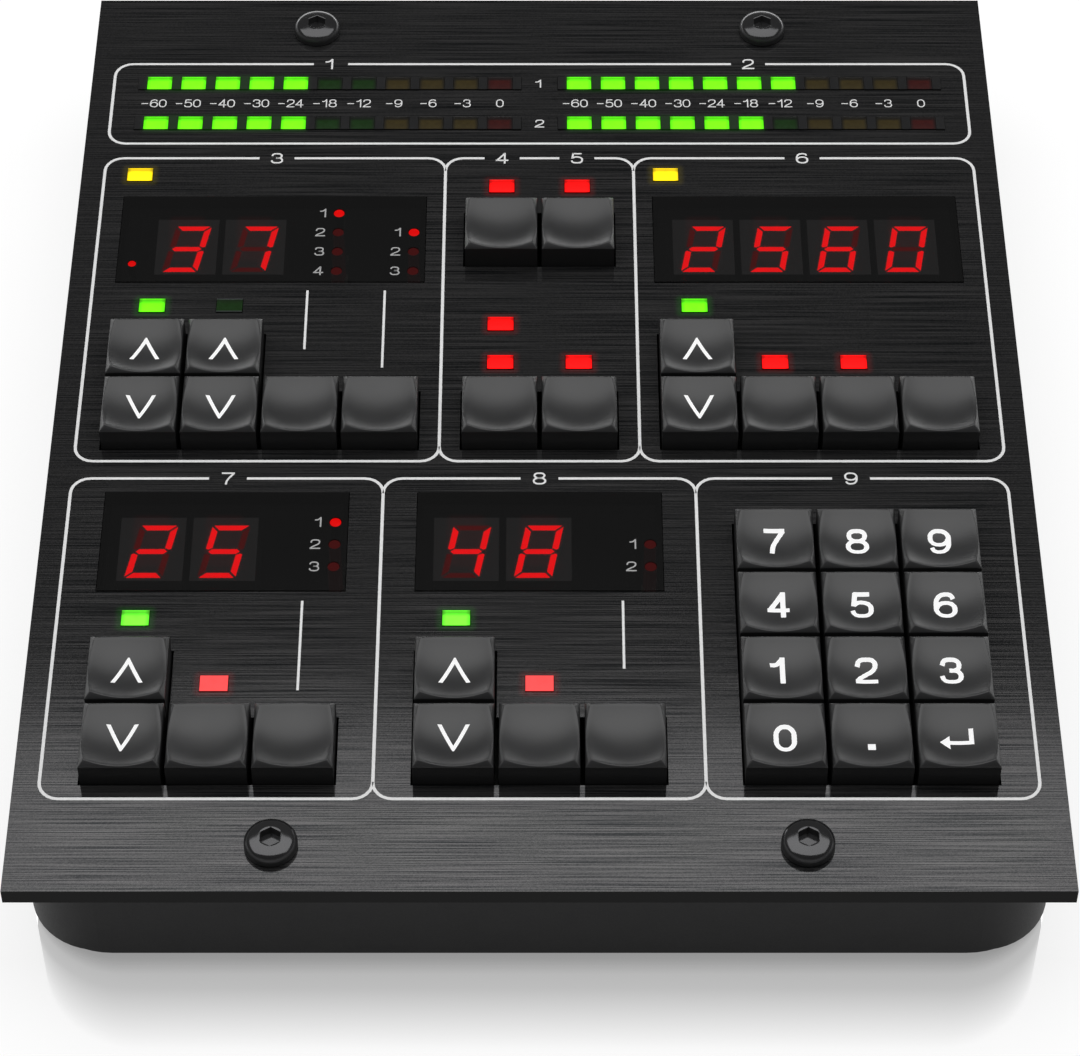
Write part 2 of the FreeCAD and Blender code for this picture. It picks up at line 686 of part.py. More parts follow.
def make_board():
    """The circuit board, with a tab at the back that carries the socket, and its six screws."""
    sheet_of_board = block("board_blank", board_width, board_depth, board_thick, zero, zero, board_bottom)
    tab = block("board_tab", tab_width, tab_reach * 2, board_thick, zero, board_depth / 2, board_bottom)
    holes = []
    for x, y in screw_places:
        hole = screw_shank + 2 * board_hole_play
        holes.append(rod("board_hole", hole, board_thick * 3, x, y, board_bottom - board_thick))
    outline = fuse("board_outline", [sheet_of_board, tab])
    parts["main_board"] = cut("main_board", outline, group("board_holes", holes))
    body = new_body("board_screws")
    sketch = sketch_on(body, "screw_head_outline", board_top)
    draw_circles(sketch, screw_head, screw_places)
    pad(body, "screw_heads", sketch, screw_head_height)
    sketch = sketch_on(body, "screw_shank_outline", board_top - screw_length)
    draw_circles(sketch, screw_shank, screw_places)
    pad(body, "screw_shanks", sketch, screw_length)
    parts["board_screws"] = body


def make_first_key(name, x, y):
    """A hollow square keycap with a bevelled rim, a round finger dish and a stem."""
    body = new_body(name)
    half = key_size / 2
    bottom = base_top - key_tuck
    top = plate_top + key_side + key_bevel
    solid = feature_at(body, "AdditiveBox", "cap", x - half, y - half, bottom,
                       Length=key_size, Width=key_size, Height=top - bottom)
    round_off(body, "Chamfer", "bevel", solid, top, key_bevel)
    dish_bottom = plate_top + dish_height
    feature_at(body, "SubtractiveSphere", "dish", x, y, dish_bottom + dish_radius, Radius=dish_radius)
    ceiling = dish_bottom - key_roof
    inside = half - key_wall
    feature_at(body, "SubtractiveBox", "hollow", x - inside, y - inside, bottom,
               Length=inside * 2, Width=inside * 2, Height=ceiling - bottom)
    feature_at(body, "AdditiveCylinder", "stem", x, y, stem_bottom,
               Radius=stem_diameter / 2, Height=ceiling - stem_bottom + key_roof / 2)
    parts[name] = body
    return body


def make_keys():
    """All keys come out of the same mould, so the others are copies of the first."""
    names = list(key_places)
    first_x, first_y = key_places[names[0]]
    first = make_first_key(names[0], first_x, first_y)
    for name in names[1:]:
        x, y = key_places[name]
        body = new_body(name)
        copy = doc.addObject("PartDesign::FeatureBase", f"{name}_copy")
        body.Group = [copy]
        body.Tip = copy
        copy.BaseFeature = first
        place(body, x - first_x, y - first_y, zero)
        parts[name] = body


def make_switches():
    """A push switch under every key, bored for the key's stem."""
    housings = []
    bores = []
    for x, y in key_places.values():
        housings.append(block("housing", switch_size, switch_size, switch_height, x, y, board_top))
        depth = stem_reach + key_travel + stem_room
        bores.append(rod("bore", stem_diameter + 2 * stem_play, depth * 2, x, y, switch_top - depth))
    parts["key_switches"] = cut("key_switches", group("housings", housings), group("bores", bores))


def make_window_pair(name, members):
    """Dark windows, hollow underneath, held by a flange and bored for the round lamps."""
    shells = []
    hollows = []
    for window in members:
        width, x, y = windows[window]
        height = window_top - flange_bottom
        rim = 2 * flange
        wall = 2 * window_wall
        pane = block("pane", width, window_depth, height, x, y, flange_bottom)
        edge = block("flange", width + rim, window_depth + rim, flange_thick, x, y, flange_bottom)
        shells.append(fuse("shell", [pane, edge]))
        hollows.append(block("hollow", width - wall, window_depth - wall, glass_bottom - flange_bottom,
                             x, y, flange_bottom))
    for diameter, x, y in dots:
        for window in members:
            width, middle_x, middle_y = windows[window]
            inside_x = abs(x.value - middle_x.value) < width.value / 2
            inside_y = abs(y.value - middle_y.value) < window_depth.value / 2
            if inside_x and inside_y:
                hollows.append(rod("dot_hole", diameter + 2 * lamp_play, window_top, x, y, flange_bottom))
    tool = fuse(f"{name}_hollows", hollows)
    parts[name] = cut(name, group(f"{name}_shells", shells), tool)


def make_digits():
    """Seven-segment modules on the board, with their faces just under the windows."""
    modules = []
    height = glass_bottom - digit_air - board_top
    for window, (shift, digits) in digit_rows.items():
        width, middle, y = windows[window]
        for index, digit in enumerate(digits):
            x = middle + shift + (index - (len(digits) - 1) / 2) * digit_pitch
            modules.append(block(digit, digit_width, digit_depth, height, x, y, board_top))
    parts["digit_modules"] = group("digit_modules", modules)


def make_meters():
    """Combs that fill the gaps between the lenses, and the lenses themselves."""
    combs = []
    for name, (x, y) in bars.items():
        rail_length = bar_length + 2 * flange
        rail_depth = bar_depth + 2 * flange
        pieces = [block("rail", rail_length, rail_depth, flange_thick, x, y, flange_bottom)]
        height = lamp_top - flange_bottom
        tooth = lens_space - 2 * lamp_play
        for index in range(lens_count - 1):
            across = x + (index - (lens_count - 2) / 2) * lens_pitch
            pieces.append(block("tooth", tooth, bar_depth, height, across, y, flange_bottom))
        end = bar_end - lamp_play
        for side in (-1, 1):
            across = x + side * (bar_length - end) / 2
            pieces.append(block("end_tooth", end, bar_depth, height, across, y, flange_bottom))
        combs.append(fuse(f"comb_{name}", pieces))
    pipe_width = lens_width - 2 * pipe_inset
    pipe_depth = lens_depth - 2 * pipe_inset
    slots = []
    for colour in ("green", "amber", "red"):
        heads = []
        pipes = []
        for x, y in lens_places(colour):
            gap = 2 * lamp_play
            slots.append(block("slot", pipe_width + gap, pipe_depth + gap, flange_thick * 3, x, y,
                               flange_bottom - flange_thick))
            heads.append(block("head", lens_width, lens_depth, lamp_top - base_top, x, y, base_top))
            pipes.append(block("pipe", pipe_width, pipe_depth, base_top - pipe_bottom, x, y, pipe_bottom))
        name = f"meter_lenses_{colour}"
        parts[name] = fuse(name, [group(f"{name}_heads", heads), group(f"{name}_pipes", pipes)])
    combs = group("combs", combs)
    parts["meter_frames"] = cut("meter_frames", combs, group("comb_slots", slots))


def make_lamps():
    """Rectangular light pipes with a flange that stops under the faceplate."""
    for colour, places in lamps.items():
        heads = []
        flanges = []
        pipes = []
        for x, y in places:
            rim = 2 * flange
            slim = 2 * pipe_inset
            heads.append(block("head", lamp_width, lamp_depth, lamp_top - base_top, x, y, base_top))
            flanges.append(block("flange", lamp_width + rim, lamp_depth + rim, flange_thick, x, y,
                                 flange_bottom))
            pipes.append(block("pipe", lamp_width - slim, lamp_depth - slim, flange_bottom - pipe_bottom,
                               x, y, pipe_bottom))
        name = f"{colour}_light_pipes"
        layers = {"heads": heads, "flanges": flanges, "pipes": pipes}
        parts[name] = fuse(name, [group(f"{name}_{layer}", pieces) for layer, pieces in layers.items()])


def make_dots():
    """Round light pipes, flush with the windows."""
    pipes = []
    for diameter, x, y in dots:
        pipes.append(rod("dot", diameter, window_top - pipe_bottom, x, y, pipe_bottom))
    parts["window_light_pipes"] = group("window_light_pipes", pipes)


def make_chips():
    """A lamp chip under every lens and light pipe, and the chips under the board."""
    places = []
    for colour in ("green", "amber", "red"):
        places.extend(lens_places(colour))
    for spots in lamps.values():
        places.extend(spots)
    for diameter, x, y in dots:
        places.append((x, y))
    chips = [block("led", led_width, led_depth, led_height, x, y, board_top) for x, y in places]
    parts["chip_leds"] = group("chip_leds", chips)
    parts["controller_chip"] = block("controller_chip", controller_size, controller_size, controller_thick,
                                     zero, controller_y, board_bottom - controller_thick)
    drivers = []
    for y in (driver_back_y, driver_front_y):
        for x in (-driver_x, driver_x):
            drivers.append(block("driver", driver_width, driver_depth, driver_thick, x, y,
                                 board_bottom - driver_thick))
    parts["driver_chips"] = group("driver_chips", drivers)


def make_socket():
    """A small metal socket under the board's tab, open towards the back."""
    body = new_body("usb_socket")
    mouth = base_depth / 2 - socket_recess
    corner = (socket_height - socket_flat) / 2
    sketch = sketch_on(body, "shell_outline", -mouth, "XZ_Plane")
    draw_rounded(sketch, socket_width, socket_height, corner, socket_middle)
    pad(body, "shell", sketch, socket_length)
    sketch = sketch_on(body, "mouth_outline", -mouth, "XZ_Plane")
    wall = 2 * socket_wall
    draw_rounded(sketch, socket_width - wall, socket_height - wall, corner - socket_wall, socket_middle)
    pocket(body, "mouth", sketch, socket_length - socket_end, along_normal=True)
    root = mouth - socket_length + socket_end / 2
    feature_at(body, "AdditiveBox", "tongue", -tongue_width / 2, root, socket_middle - tongue_thick / 2,
               Length=tongue_width, Width=tongue_length + socket_end / 2, Height=tongue_thick)
    parts["usb_socket"] = body


make_faceplate()
make_base()
make_feet()
make_bolts()
make_board()
make_keys()
make_switches()
make_window_pair("wide_windows", ("upper_left", "upper_right"))
make_window_pair("narrow_windows", ("lower_left", "lower_middle"))
make_digits()
make_meters()
make_lamps()
make_dots()
make_chips()
make_socket()
doc.recompute()

problems = []
for item in doc.Objects:
    if "Invalid" in item.State or "Error" in item.State:
        problems.append(f"{item.Label}: {item.State}")
for name, item in parts.items():
    if item.Shape.isNull() or not item.Shape.isValid():
        problems.append(f"{name}: the shape is not valid")
if problems:
    raise RuntimeError("; ".join(problems))

os.makedirs("parts", exist_ok=True)
for name, item in parts.items():
    item.Label = name
    item.Shape.exportStep(f"parts/{name}.step")
    box = item.Shape.BoundBox
    print(f"{name}: {len(item.Shape.Solids)} solids, {box.ZMin:.2f} to {box.ZMax:.2f} mm high")
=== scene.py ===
# %% [markdown]
# This lesson dresses a small desktop delay controller: a brushed black faceplate on a low base,
# with dished keys, smoked windows with red figures, level meters and lamps. The solids come from
# the engineering model, in metres and in place. Shapes are drawn here in millimetres, as such a
# thing is measured, and are scaled once when they are finished.

# %% Load the solids
import math

import bmesh
import bpy
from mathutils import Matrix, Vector


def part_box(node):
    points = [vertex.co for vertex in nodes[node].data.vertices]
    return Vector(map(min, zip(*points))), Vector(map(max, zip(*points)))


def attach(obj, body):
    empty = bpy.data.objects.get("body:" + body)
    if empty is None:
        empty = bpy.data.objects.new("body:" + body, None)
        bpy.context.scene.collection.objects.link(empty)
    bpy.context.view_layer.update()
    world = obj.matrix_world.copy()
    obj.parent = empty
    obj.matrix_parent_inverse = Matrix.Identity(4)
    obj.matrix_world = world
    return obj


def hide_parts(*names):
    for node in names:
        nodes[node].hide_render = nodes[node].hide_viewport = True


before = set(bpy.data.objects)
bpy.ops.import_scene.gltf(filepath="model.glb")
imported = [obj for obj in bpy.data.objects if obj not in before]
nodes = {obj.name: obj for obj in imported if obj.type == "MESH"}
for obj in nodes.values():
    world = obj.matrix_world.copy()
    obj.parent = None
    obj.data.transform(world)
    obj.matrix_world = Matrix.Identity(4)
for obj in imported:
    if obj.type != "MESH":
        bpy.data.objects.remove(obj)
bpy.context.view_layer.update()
scene = bpy.context.scene
MM = 0.001

# %% [markdown]
# The picture was taken from the front, looking down at 49 degrees with a long lens. A camera can be
# placed by eye and nudged, but here its height, distance and lens were worked out from the four
# corners of the faceplate, so everything of the right size also lands in the right place.

# %% Camera
CAMERA_PLACE = Vector((0.0, -355.48, 408.47)) * MM
CAMERA_DOWN = math.radians(49.386)
lens = bpy.data.cameras.new("lens")
lens.sensor_fit = "HORIZONTAL"
lens.sensor_width = 36.0
lens.lens = 125.4
lens.shift_x = 0.000463
camera = bpy.data.objects.new("camera", lens)
camera.location = CAMERA_PLACE
camera.rotation_euler = (math.pi / 2 - CAMERA_DOWN, 0.0, 0.0)
scene.collection.objects.link(camera)
scene.camera = camera
print("camera", [round(value, 3) for value in camera.location])

# %% [markdown]
# Light on a dark glossy thing is mostly what it mirrors. One broad soft panel hangs overhead. Its
# rear edge is mirrored across the front third of the plate and through the middle of each bolt, so
# the plate is pale in front and dark behind, and each bolt is half bright.

# %% Soft panel overhead
PANEL_HEIGHT = 1.2
PANEL_REAR = 0.848
PANEL_FRONT = -0.35
panel_lamp = bpy.data.lights.new("panel", "AREA")
panel_lamp.shape = "RECTANGLE"
panel_lamp.size = 2.4
panel_lamp.size_y = PANEL_REAR - PANEL_FRONT
panel_lamp.energy = 17.2
panel = bpy.data.objects.new("panel", panel_lamp)
panel.location = (0.0, (PANEL_REAR + PANEL_FRONT) / 2, PANEL_HEIGHT)
panel.visible_camera = False
scene.collection.objects.link(panel)
print("panel from", round(PANEL_FRONT, 2), "to", round(PANEL_REAR, 2), "m")

# %% [markdown]
# The sky, the floor and every material are small node trees. One helper fills a node's sockets: it
# links what comes from another node and sets plain values on the socket itself. One adds a node
# and gives back an output. The others name the steps that come back again and again.

# %% Helpers for node trees
def fill(node, inputs):
    """Links or sets a node's inputs; a single number on a colour socket is a grey."""
    for name, value in inputs.items():
        socket = node.inputs[name]
        if isinstance(value, bpy.types.NodeSocket):
            node.id_data.links.new(value, socket)
        elif socket.type == "RGBA":
            colour = (value, value, value) if isinstance(value, float) else value
            socket.default_value = (*colour, 1.0)
        else:
            socket.default_value = value


def add_node(tree, kind, output, inputs=None, **settings):
    """Adds a node with its settings and inputs, and gives back one of its outputs."""
    node = tree.nodes.new("ShaderNode" + kind)
    for name, value in settings.items():
        setattr(node, name, value)
    fill(node, inputs or {})
    return node.outputs[output]


def parts_of(tree, kind):
    """The x, y and z outputs of one kind of texture coordinate."""
    where = add_node(tree, "TexCoord", kind)
    return add_node(tree, "SeparateXYZ", "X", {"Vector": where}).node.outputs


def spread(tree, source, low, high, start=0.3, end=0.7):
    """Maps a part of a value's range, by default that of noise, between two values."""
    limits = {"From Min": start, "From Max": end, "To Min": low, "To Max": high}
    return add_node(tree, "MapRange", "Result", {"Value": source, **limits})


def mix(tree, factor, first, second, kind="FLOAT"):
    """A value between two values, by a factor."""
    inputs = {"Factor": factor, "A": first, "B": second}
    return add_node(tree, "Mix", "Result", inputs, data_type=kind)


def between(tree, factor, first, second):
    """A colour between two colours, by a factor."""
    return mix(tree, factor, first, second, "RGBA")


def calculate(tree, operation, first, second=0.0, clamp=False):
    """One step of arithmetic."""
    inputs = {0: first, 1: second}
    return add_node(tree, "Math", "Value", inputs, operation=operation, use_clamp=clamp)


def grey_ramp(tree, source, stops):
    """A grey that changes from stop to stop, each a place along the value and a level."""
    ramp = add_node(tree, "ValToRGB", "Color", {"Fac": source})
    elements = ramp.node.color_ramp.elements
    for place, level in stops[1:-1]:
        elements.new(place)
    for element, (place, level) in zip(elements, stops):
        element.position = place
        element.color = (level, level, level, 1.0)
    return ramp


# %% [markdown]
# The world is dim at mid height and white near the horizon, as in a white studio with its lamps
# off. Behind the object the studio wall is lit more than in front of it. Only what mirrors low over
# the back edge sees that: the rear rims of the back bolts and the front lips of the dished keys.

# %% World: white at the horizon, dim above it
DIM_SKY = 0.2
MIRROR_SKY = 0.13
CAMERA_SKY = 0.99
WALL_BOOST = 4.2
FRONT_SHARE = 0.5
world = bpy.data.worlds.new("studio")
scene.world = world
world.use_nodes = True
sky = world.node_tree
direction = parts_of(sky, "Generated")
sky_looks = add_node(sky, "LightPath", "Is Glossy Ray").node.outputs
is_mirrored = sky_looks["Is Glossy Ray"]
ramp = grey_ramp(sky, direction["Z"], [(0.08, 1.0), (0.30, MIRROR_SKY)])
horizon_for_gloss = between(sky, is_mirrored, DIM_SKY, ramp)
sky_colour = between(sky, sky_looks["Is Camera Ray"], horizon_for_gloss, CAMERA_SKY)
low_wall = spread(sky, direction["Z"], WALL_BOOST, 0.0, 0.05, 0.14)
behind = spread(sky, direction["Y"], 0.0, 1.0, 0.5, 0.8)
front_to_back = spread(sky, direction["Y"], FRONT_SHARE, 1.0, -0.3, 0.3)
boost = calculate(sky, "MULTIPLY", low_wall, behind)
sky_strength = mix(sky, is_mirrored, 1.0, calculate(sky, "ADD", front_to_back, boost))
fill(sky.nodes["Background"], {"Color": sky_colour, "Strength": sky_strength})
print("world nodes:", len(sky.nodes))

# %% [markdown]
# Most materials need a noise that may be stretched, a way to spread it between two values, and a
# bump. Object coordinates are used throughout, because they stay with the piece in every pose.

# %% Helpers for materials
def new_material(name, colour, roughness, metallic=0.0, specular=0.5):
    """A material with its plain values set on the shader's own sockets."""
    made = bpy.data.materials.new(name)
    made.use_nodes = True
    made.diffuse_color = (*colour, 1.0)
    shader = made.node_tree.nodes["Principled BSDF"]
    fill(shader, {"Base Color": colour, "Roughness": roughness, "Metallic": metallic,
                  "Specular IOR Level": specular})
    return made, made.node_tree, shader


def stretched_noise(tree, scale, detail=2.0):
    """Noise on Object coordinates; scale is how many bumps per metre along x, y and z."""
    where = add_node(tree, "TexCoord", "Object")
    stretch = add_node(tree, "Mapping", "Vector", {"Vector": where, "Scale": scale})
    return add_node(tree, "TexNoise", "Fac", {"Vector": stretch, "Scale": 1.0, "Detail": detail})


def even_noise(tree, bumps, detail=2.0):
    """Noise with as many bumps per metre in every direction."""
    return stretched_noise(tree, (bumps, bumps, bumps), detail)


def facing_up(tree, start, end):
    """A value that goes from 0 to 1 as a surface turns upwards."""
    return spread(tree, parts_of(tree, "Normal")["Z"], 0.0, 1.0, start, end)


def add_bump(tree, shader, height, strength, depth):
    """Raises the surface a little; depth is in metres."""
    inputs = {"Strength": strength, "Distance": depth, "Height": height}
    fill(shader, {"Normal": add_node(tree, "Bump", "Normal", inputs)})


def light_up(shader, colour, strength=1.0):
    """Makes a surface give off light of its own."""
    fill(shader, {"Emission Color": colour, "Emission Strength": strength})


def grained(name, dark, light, roughness, grain, depth, metallic=0.0, specular=0.5):
    """A moulded or cast finish: fine even grain that varies colour, gloss and height."""
    made, tree, shader = new_material(name, dark, roughness, metallic, specular)
    fine = even_noise(tree, grain, 3.0)
    factor = spread(tree, even_noise(tree, grain / 25), 0.0, 1.0)
    fill(shader, {"Base Color": between(tree, factor, dark, light),
                  "Roughness": spread(tree, fine, roughness - 0.05, roughness + 0.05)})
    add_bump(tree, shader, fine, 0.35, depth)
    return made


def shader_of(material):
    """The shader node of a material."""
    return material.node_tree.nodes["Principled BSDF"]


def dress(material, *names):
    """Puts one material on carried-over solids."""
    for name in names:
        nodes[name].data.materials.clear()
        nodes[name].data.materials.append(material)
    print(material.name, "on", len(names), "solids")


# %% [markdown]
# A finished piece sits at the origin, unturned and unscaled, with its place in its mesh. One helper
# does the last steps for all of them: millimetres to metres, faces turned outwards and shaded
# smooth between sharp edges, then the name, the body it moves with and the finish it belongs to.

# %% Helper that finishes a piece
PIECES = []
SHARP_ANGLE = math.radians(38.0)


def finish_piece(shape, name, material, body="chassis", stands_for=()):
    """Turns a shape drawn in millimetres into a named piece that rides on a body."""
    bmesh.ops.scale(shape, vec=(MM, MM, MM), verts=shape.verts)
    bmesh.ops.recalc_face_normals(shape, faces=shape.faces)
    for face in shape.faces:
        face.smooth = True
    for edge in shape.edges:
        edge.smooth = edge.calc_face_angle(0.0) < SHARP_ANGLE
    mesh = bpy.data.meshes.new(name)
    shape.to_mesh(mesh)
    shape.free()
    mesh.materials.append(material)
    piece = bpy.data.objects.new(name, mesh)
    scene.collection.objects.link(piece)
    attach(piece, body)
    if stands_for:
        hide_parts(*stands_for)
    PIECES.append(piece)


# %% Helpers for shapes
def add_shape(target, shape):
    """Adds one drawn shape to another."""
    carrier = bpy.data.meshes.new("carrier")
    shape.to_mesh(carrier)
    shape.free()
    target.from_mesh(carrier)
    bpy.data.meshes.remove(carrier)


def move(shape, x, y, z=0.0):
    """Moves a whole shape."""
    bmesh.ops.translate(shape, vec=(x, y, z), verts=shape.verts)


def verts_in(items):
    """The vertices among the things that a step has made."""
    return [item for item in items if isinstance(item, bmesh.types.BMVert)]


def soften(shape, edges, width):
    """Rounds edges off."""
    bmesh.ops.bevel(shape, geom=edges, offset=width, offset_type="OFFSET", segments=2, profile=0.5,
                    affect="EDGES", material=-1, clamp_overlap=True)


# %% [markdown]
# The levels of the layers are read from the solids: the faceplate, the lamps a little above it, the
# glass of the windows, and the faces of the figures under the glass.

# %% Levels
def middle_of(node):
    """The middle of a solid seen from above, in millimetres."""
    low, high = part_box(node)
    return (low.x + high.x) / 2 / MM, (low.y + high.y) / 2 / MM


def levels_of(node):
    """The lowest and the highest level of a solid, in millimetres."""
    low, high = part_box(node)
    return low.z / MM, high.z / MM


PLATE_BOTTOM, PLATE_TOP = levels_of("faceplate")
LAMP_FOOT, LAMP_TOP = levels_of("green_light_pipes")
GLASS_TOP = levels_of("wide_windows")[1]
DIGIT_FACE = levels_of("digit_modules")[1]
BOLT_FOOT, BOLT_TOP = levels_of("panel_bolts")
print("plate", PLATE_TOP, "lamps", LAMP_TOP, "glass", GLASS_TOP, "figures", DIGIT_FACE)

# %% [markdown]
# Identical small parts share a node of the model. Their places are read from its mesh: starting at
# one point, everything joined to it by edges belongs to the same solid. That way lamps and figures
# always stand where the engineering model has them.

# %% Where the solids of a node are
def solids_of(node):
    """Middles of a node's solids in millimetres, from front to back and left to right."""
    shape = bmesh.new()
    shape.from_mesh(nodes[node].data)
    bmesh.ops.remove_doubles(shape, verts=shape.verts, dist=0.000001)
    waiting, middles = set(shape.verts), []
    while waiting:
        solid = [waiting.pop()]
        for vertex in solid:
            joined = {edge.other_vert(vertex) for edge in vertex.link_edges} & waiting
            waiting -= joined
            solid.extend(joined)
        across = [vertex.co.x for vertex in solid]
        along = [vertex.co.y for vertex in solid]
        middles.append(((min(across) + max(across)) / 2 / MM, (min(along) + max(along)) / 2 / MM))
    shape.free()
    return sorted(middles, key=lambda spot: (round(spot[1], 1), spot[0]))


BOLT_SPOTS = solids_of("panel_bolts")
print("bolts at", [(round(x, 2), round(y, 2)) for x, y in BOLT_SPOTS])

# %% [markdown]
# Where the single lamps are, which of them are lit, and in what colour. The lower ones are paler.
# Both the lamps and the soft coloured shine that they throw on the plate are made from this list.

# %% Single lamps
LAMP_SIZE = (3.71, 2.58)
DARK_LAMP_NUMBER = 3
PALE_GREEN_BELOW = 0.0
PALE_RED_BELOW = -45.0
YELLOW_LAMPS = solids_of("yellow_light_pipes")
green_spots = solids_of("green_light_pipes")
red_spots = solids_of("red_light_pipes")
DARK_LAMPS = [green_spots.pop(DARK_LAMP_NUMBER)]
PALE_GREEN_LAMPS = [spot for spot in green_spots if spot[1] < PALE_GREEN_BELOW]
GREEN_LAMPS = [spot for spot in green_spots if spot[1] > PALE_GREEN_BELOW]
PALE_RED_LAMPS = [spot for spot in red_spots if spot[1] < PALE_RED_BELOW]
RED_LAMPS = [spot for spot in red_spots if spot[1] > PALE_RED_BELOW]
print("lit lamps:", len(YELLOW_LAMPS + green_spots + red_spots))

# %% [markdown]
# The level meters are four bars of eleven lenses: seven green, three amber, one red. The first few
# green ones are lit in each bar.

# %% Meter lenses
LENS_PITCH = 5.13
LENS_COUNT = 11
AMBER_FROM = 7
RED_FROM = 10
LENS_SIZE = (3.70, 2.66)
DULL_LENS_SIZE = (3.80, 2.68)
LIT_LENSES = dict(zip(solids_of("meter_frames"), (5, 6, 5, 7)))
BAR_MIDDLE = max(x for x, y in LIT_LENSES)
BAR_ROWS = sorted({round(y, 3) for x, y in LIT_LENSES}, reverse=True)


def lens_x(bar_x, number):
    """Where a lens stands in its bar, counted from 0 at the left."""
    return bar_x + (number - LENS_COUNT // 2) * LENS_PITCH


print("lit lenses:", sum(LIT_LENSES.values()), "rows", BAR_ROWS)

# %% [markdown]
# Brushed, black anodised aluminium. The brush leaves scratches along x, which spread a highlight
# along y. A picture could hold them, but noise stretched a hundred times and more along x gives
# them at any distance, in colour, gloss and height. The edges and the walls of the cut-outs get
# painted shade, darker and duller than the top, so the surface's direction picks between the two.

# %% Brushed plate
plate_metal, tree, shader = new_material("brushed_plate", (0.053, 0.053, 0.054), 0.09, 0.75)
hair = stretched_noise(tree, (45.0, 7000.0, 45.0))
band = stretched_noise(tree, (14.0, 1900.0, 14.0), 3.0)
lines = mix(tree, 0.2, mix(tree, 0.05, hair, band), even_noise(tree, 6000.0, 1.0))
line_factor = spread(tree, lines, 0.0, 1.0, 0.39, 0.61)
top_colour = between(tree, line_factor, (0.013, 0.0145, 0.016), (0.092, 0.090, 0.0905))
is_top = facing_up(tree, 0.5, 0.8)
# Faces that don't face up are painted darker, less metallic and less glossy: painted shade.
fill(shader, {"Base Color": between(tree, is_top, 0.006, top_colour),
              "Roughness": spread(tree, lines, 0.07, 0.11),
              "Metallic": spread(tree, is_top, 0.0, 0.75, 0.0, 1.0),
              "Specular IOR Level": spread(tree, is_top, 0.05, 0.5, 0.0, 1.0),
              "Anisotropic": 0.5,
              "Tangent": add_node(tree, "CombineXYZ", "Vector", {"Y": 1.0})})
add_bump(tree, shader, lines, 0.05, 0.00001)
print("plate nodes:", len(tree.nodes))

# %% [markdown]
# A lit lamp throws a soft shine on the plate round itself. A real light that small would need very
# many samples, so the shine is drawn in the plate's material: a node group measures how far a place
# is from the lamp's outline and fades a glow over little more than a millimetre.

# %% Shine round the lit lamps
SHINE_REACH = 1.3
glow = bpy.data.node_groups.new("lamp_shine", "ShaderNodeTree")
for socket_name in ("Middle", "Half", "Tint", "Sum"):
    glow.interface.new_socket(socket_name, in_out="INPUT", socket_type="NodeSocketVector")
glow.interface.new_socket("Total", in_out="OUTPUT", socket_type="NodeSocketVector")
taken = glow.nodes.new("NodeGroupInput").outputs
given = glow.nodes.new("NodeGroupOutput")


def vector_step(operation, *sources, output="Vector"):
    """One step of arithmetic with vectors inside the shine group."""
    return add_node(glow, "VectorMath", output, dict(enumerate(sources)), operation=operation)


place = add_node(glow, "TexCoord", "Object")
flat_place = vector_step("MULTIPLY", place, (1000.0, 1000.0, 0.0))
offset = vector_step("ABSOLUTE", vector_step("SUBTRACT", flat_place, taken["Middle"]))
outside = vector_step("MAXIMUM", vector_step("SUBTRACT", offset, taken["Half"]), (0.0, 0.0, 0.0))
distance = vector_step("LENGTH", outside, output="Value")
fade_limits = {"Value": distance, "From Max": SHINE_REACH, "To Min": 1.0, "To Max": 0.0}
fade = add_node(glow, "MapRange", "Result", fade_limits, interpolation_type="SMOOTHERSTEP")
fill(given, {"Total": vector_step("MULTIPLY_ADD", fade, taken["Tint"], taken["Sum"])})
print("shine group nodes:", len(glow.nodes))

# %% Shine for a material
YELLOW_SHINE = (0.028, 0.022, 0.0)
GREEN_SHINE = (0.001, 0.028, 0.0)
RED_SHINE = (0.040, 0.0, 0.0)
STRIP_SHINE = (0.001, 0.018, 0.0)
STRIP_SHORTER = 1.0
STRIP_DEEP = 2.4
LAMP_SPOTS = [(spot, LAMP_SIZE, YELLOW_SHINE) for spot in YELLOW_LAMPS]
LAMP_SPOTS += [(spot, LAMP_SIZE, GREEN_SHINE) for spot in GREEN_LAMPS + PALE_GREEN_LAMPS]
LAMP_SPOTS += [(spot, LAMP_SIZE, RED_SHINE) for spot in RED_LAMPS + PALE_RED_LAMPS]
STRIP_SPOTS = []
for (bar_x, bar_y), lit in LIT_LENSES.items():
    middle = (lens_x(bar_x, 0) + lens_x(bar_x, lit - 1)) / 2
    strip_wide = (lit - 1) * LENS_PITCH + LENS_SIZE[0] - STRIP_SHORTER
    STRIP_SPOTS.append(((middle, bar_y), (strip_wide, STRIP_DEEP), STRIP_SHINE))


def shine_of(tree, spots):
    """Adds up the shine of some lamps in a material's node tree."""
    running = (0.0, 0.0, 0.0)
    for spot, (wide, deep), tint in spots:
        inputs = {"Middle": (*spot, 0.0), "Half": (wide / 2, deep / 2, 1.0), "Tint": tint,
                  "Sum": running}
        running = add_node(tree, "Group", "Total", inputs, node_tree=glow)
    return running


light_up(shader, between(tree, is_top, 0.0, shine_of(tree, LAMP_SPOTS + STRIP_SPOTS)))
dress(plate_metal, "faceplate")

# %% [markdown]
# The base is a black shell with a matt, finely grained skin. The parts under the plate are rarely
# seen, but each gets the finish it would have. A row of the table holds the solids and what their
# finish is made of: its name, dark and light colour, roughness, grains per metre, depth of the
# grain in metres and, where it isn't plain, how metallic and how glossy it is.

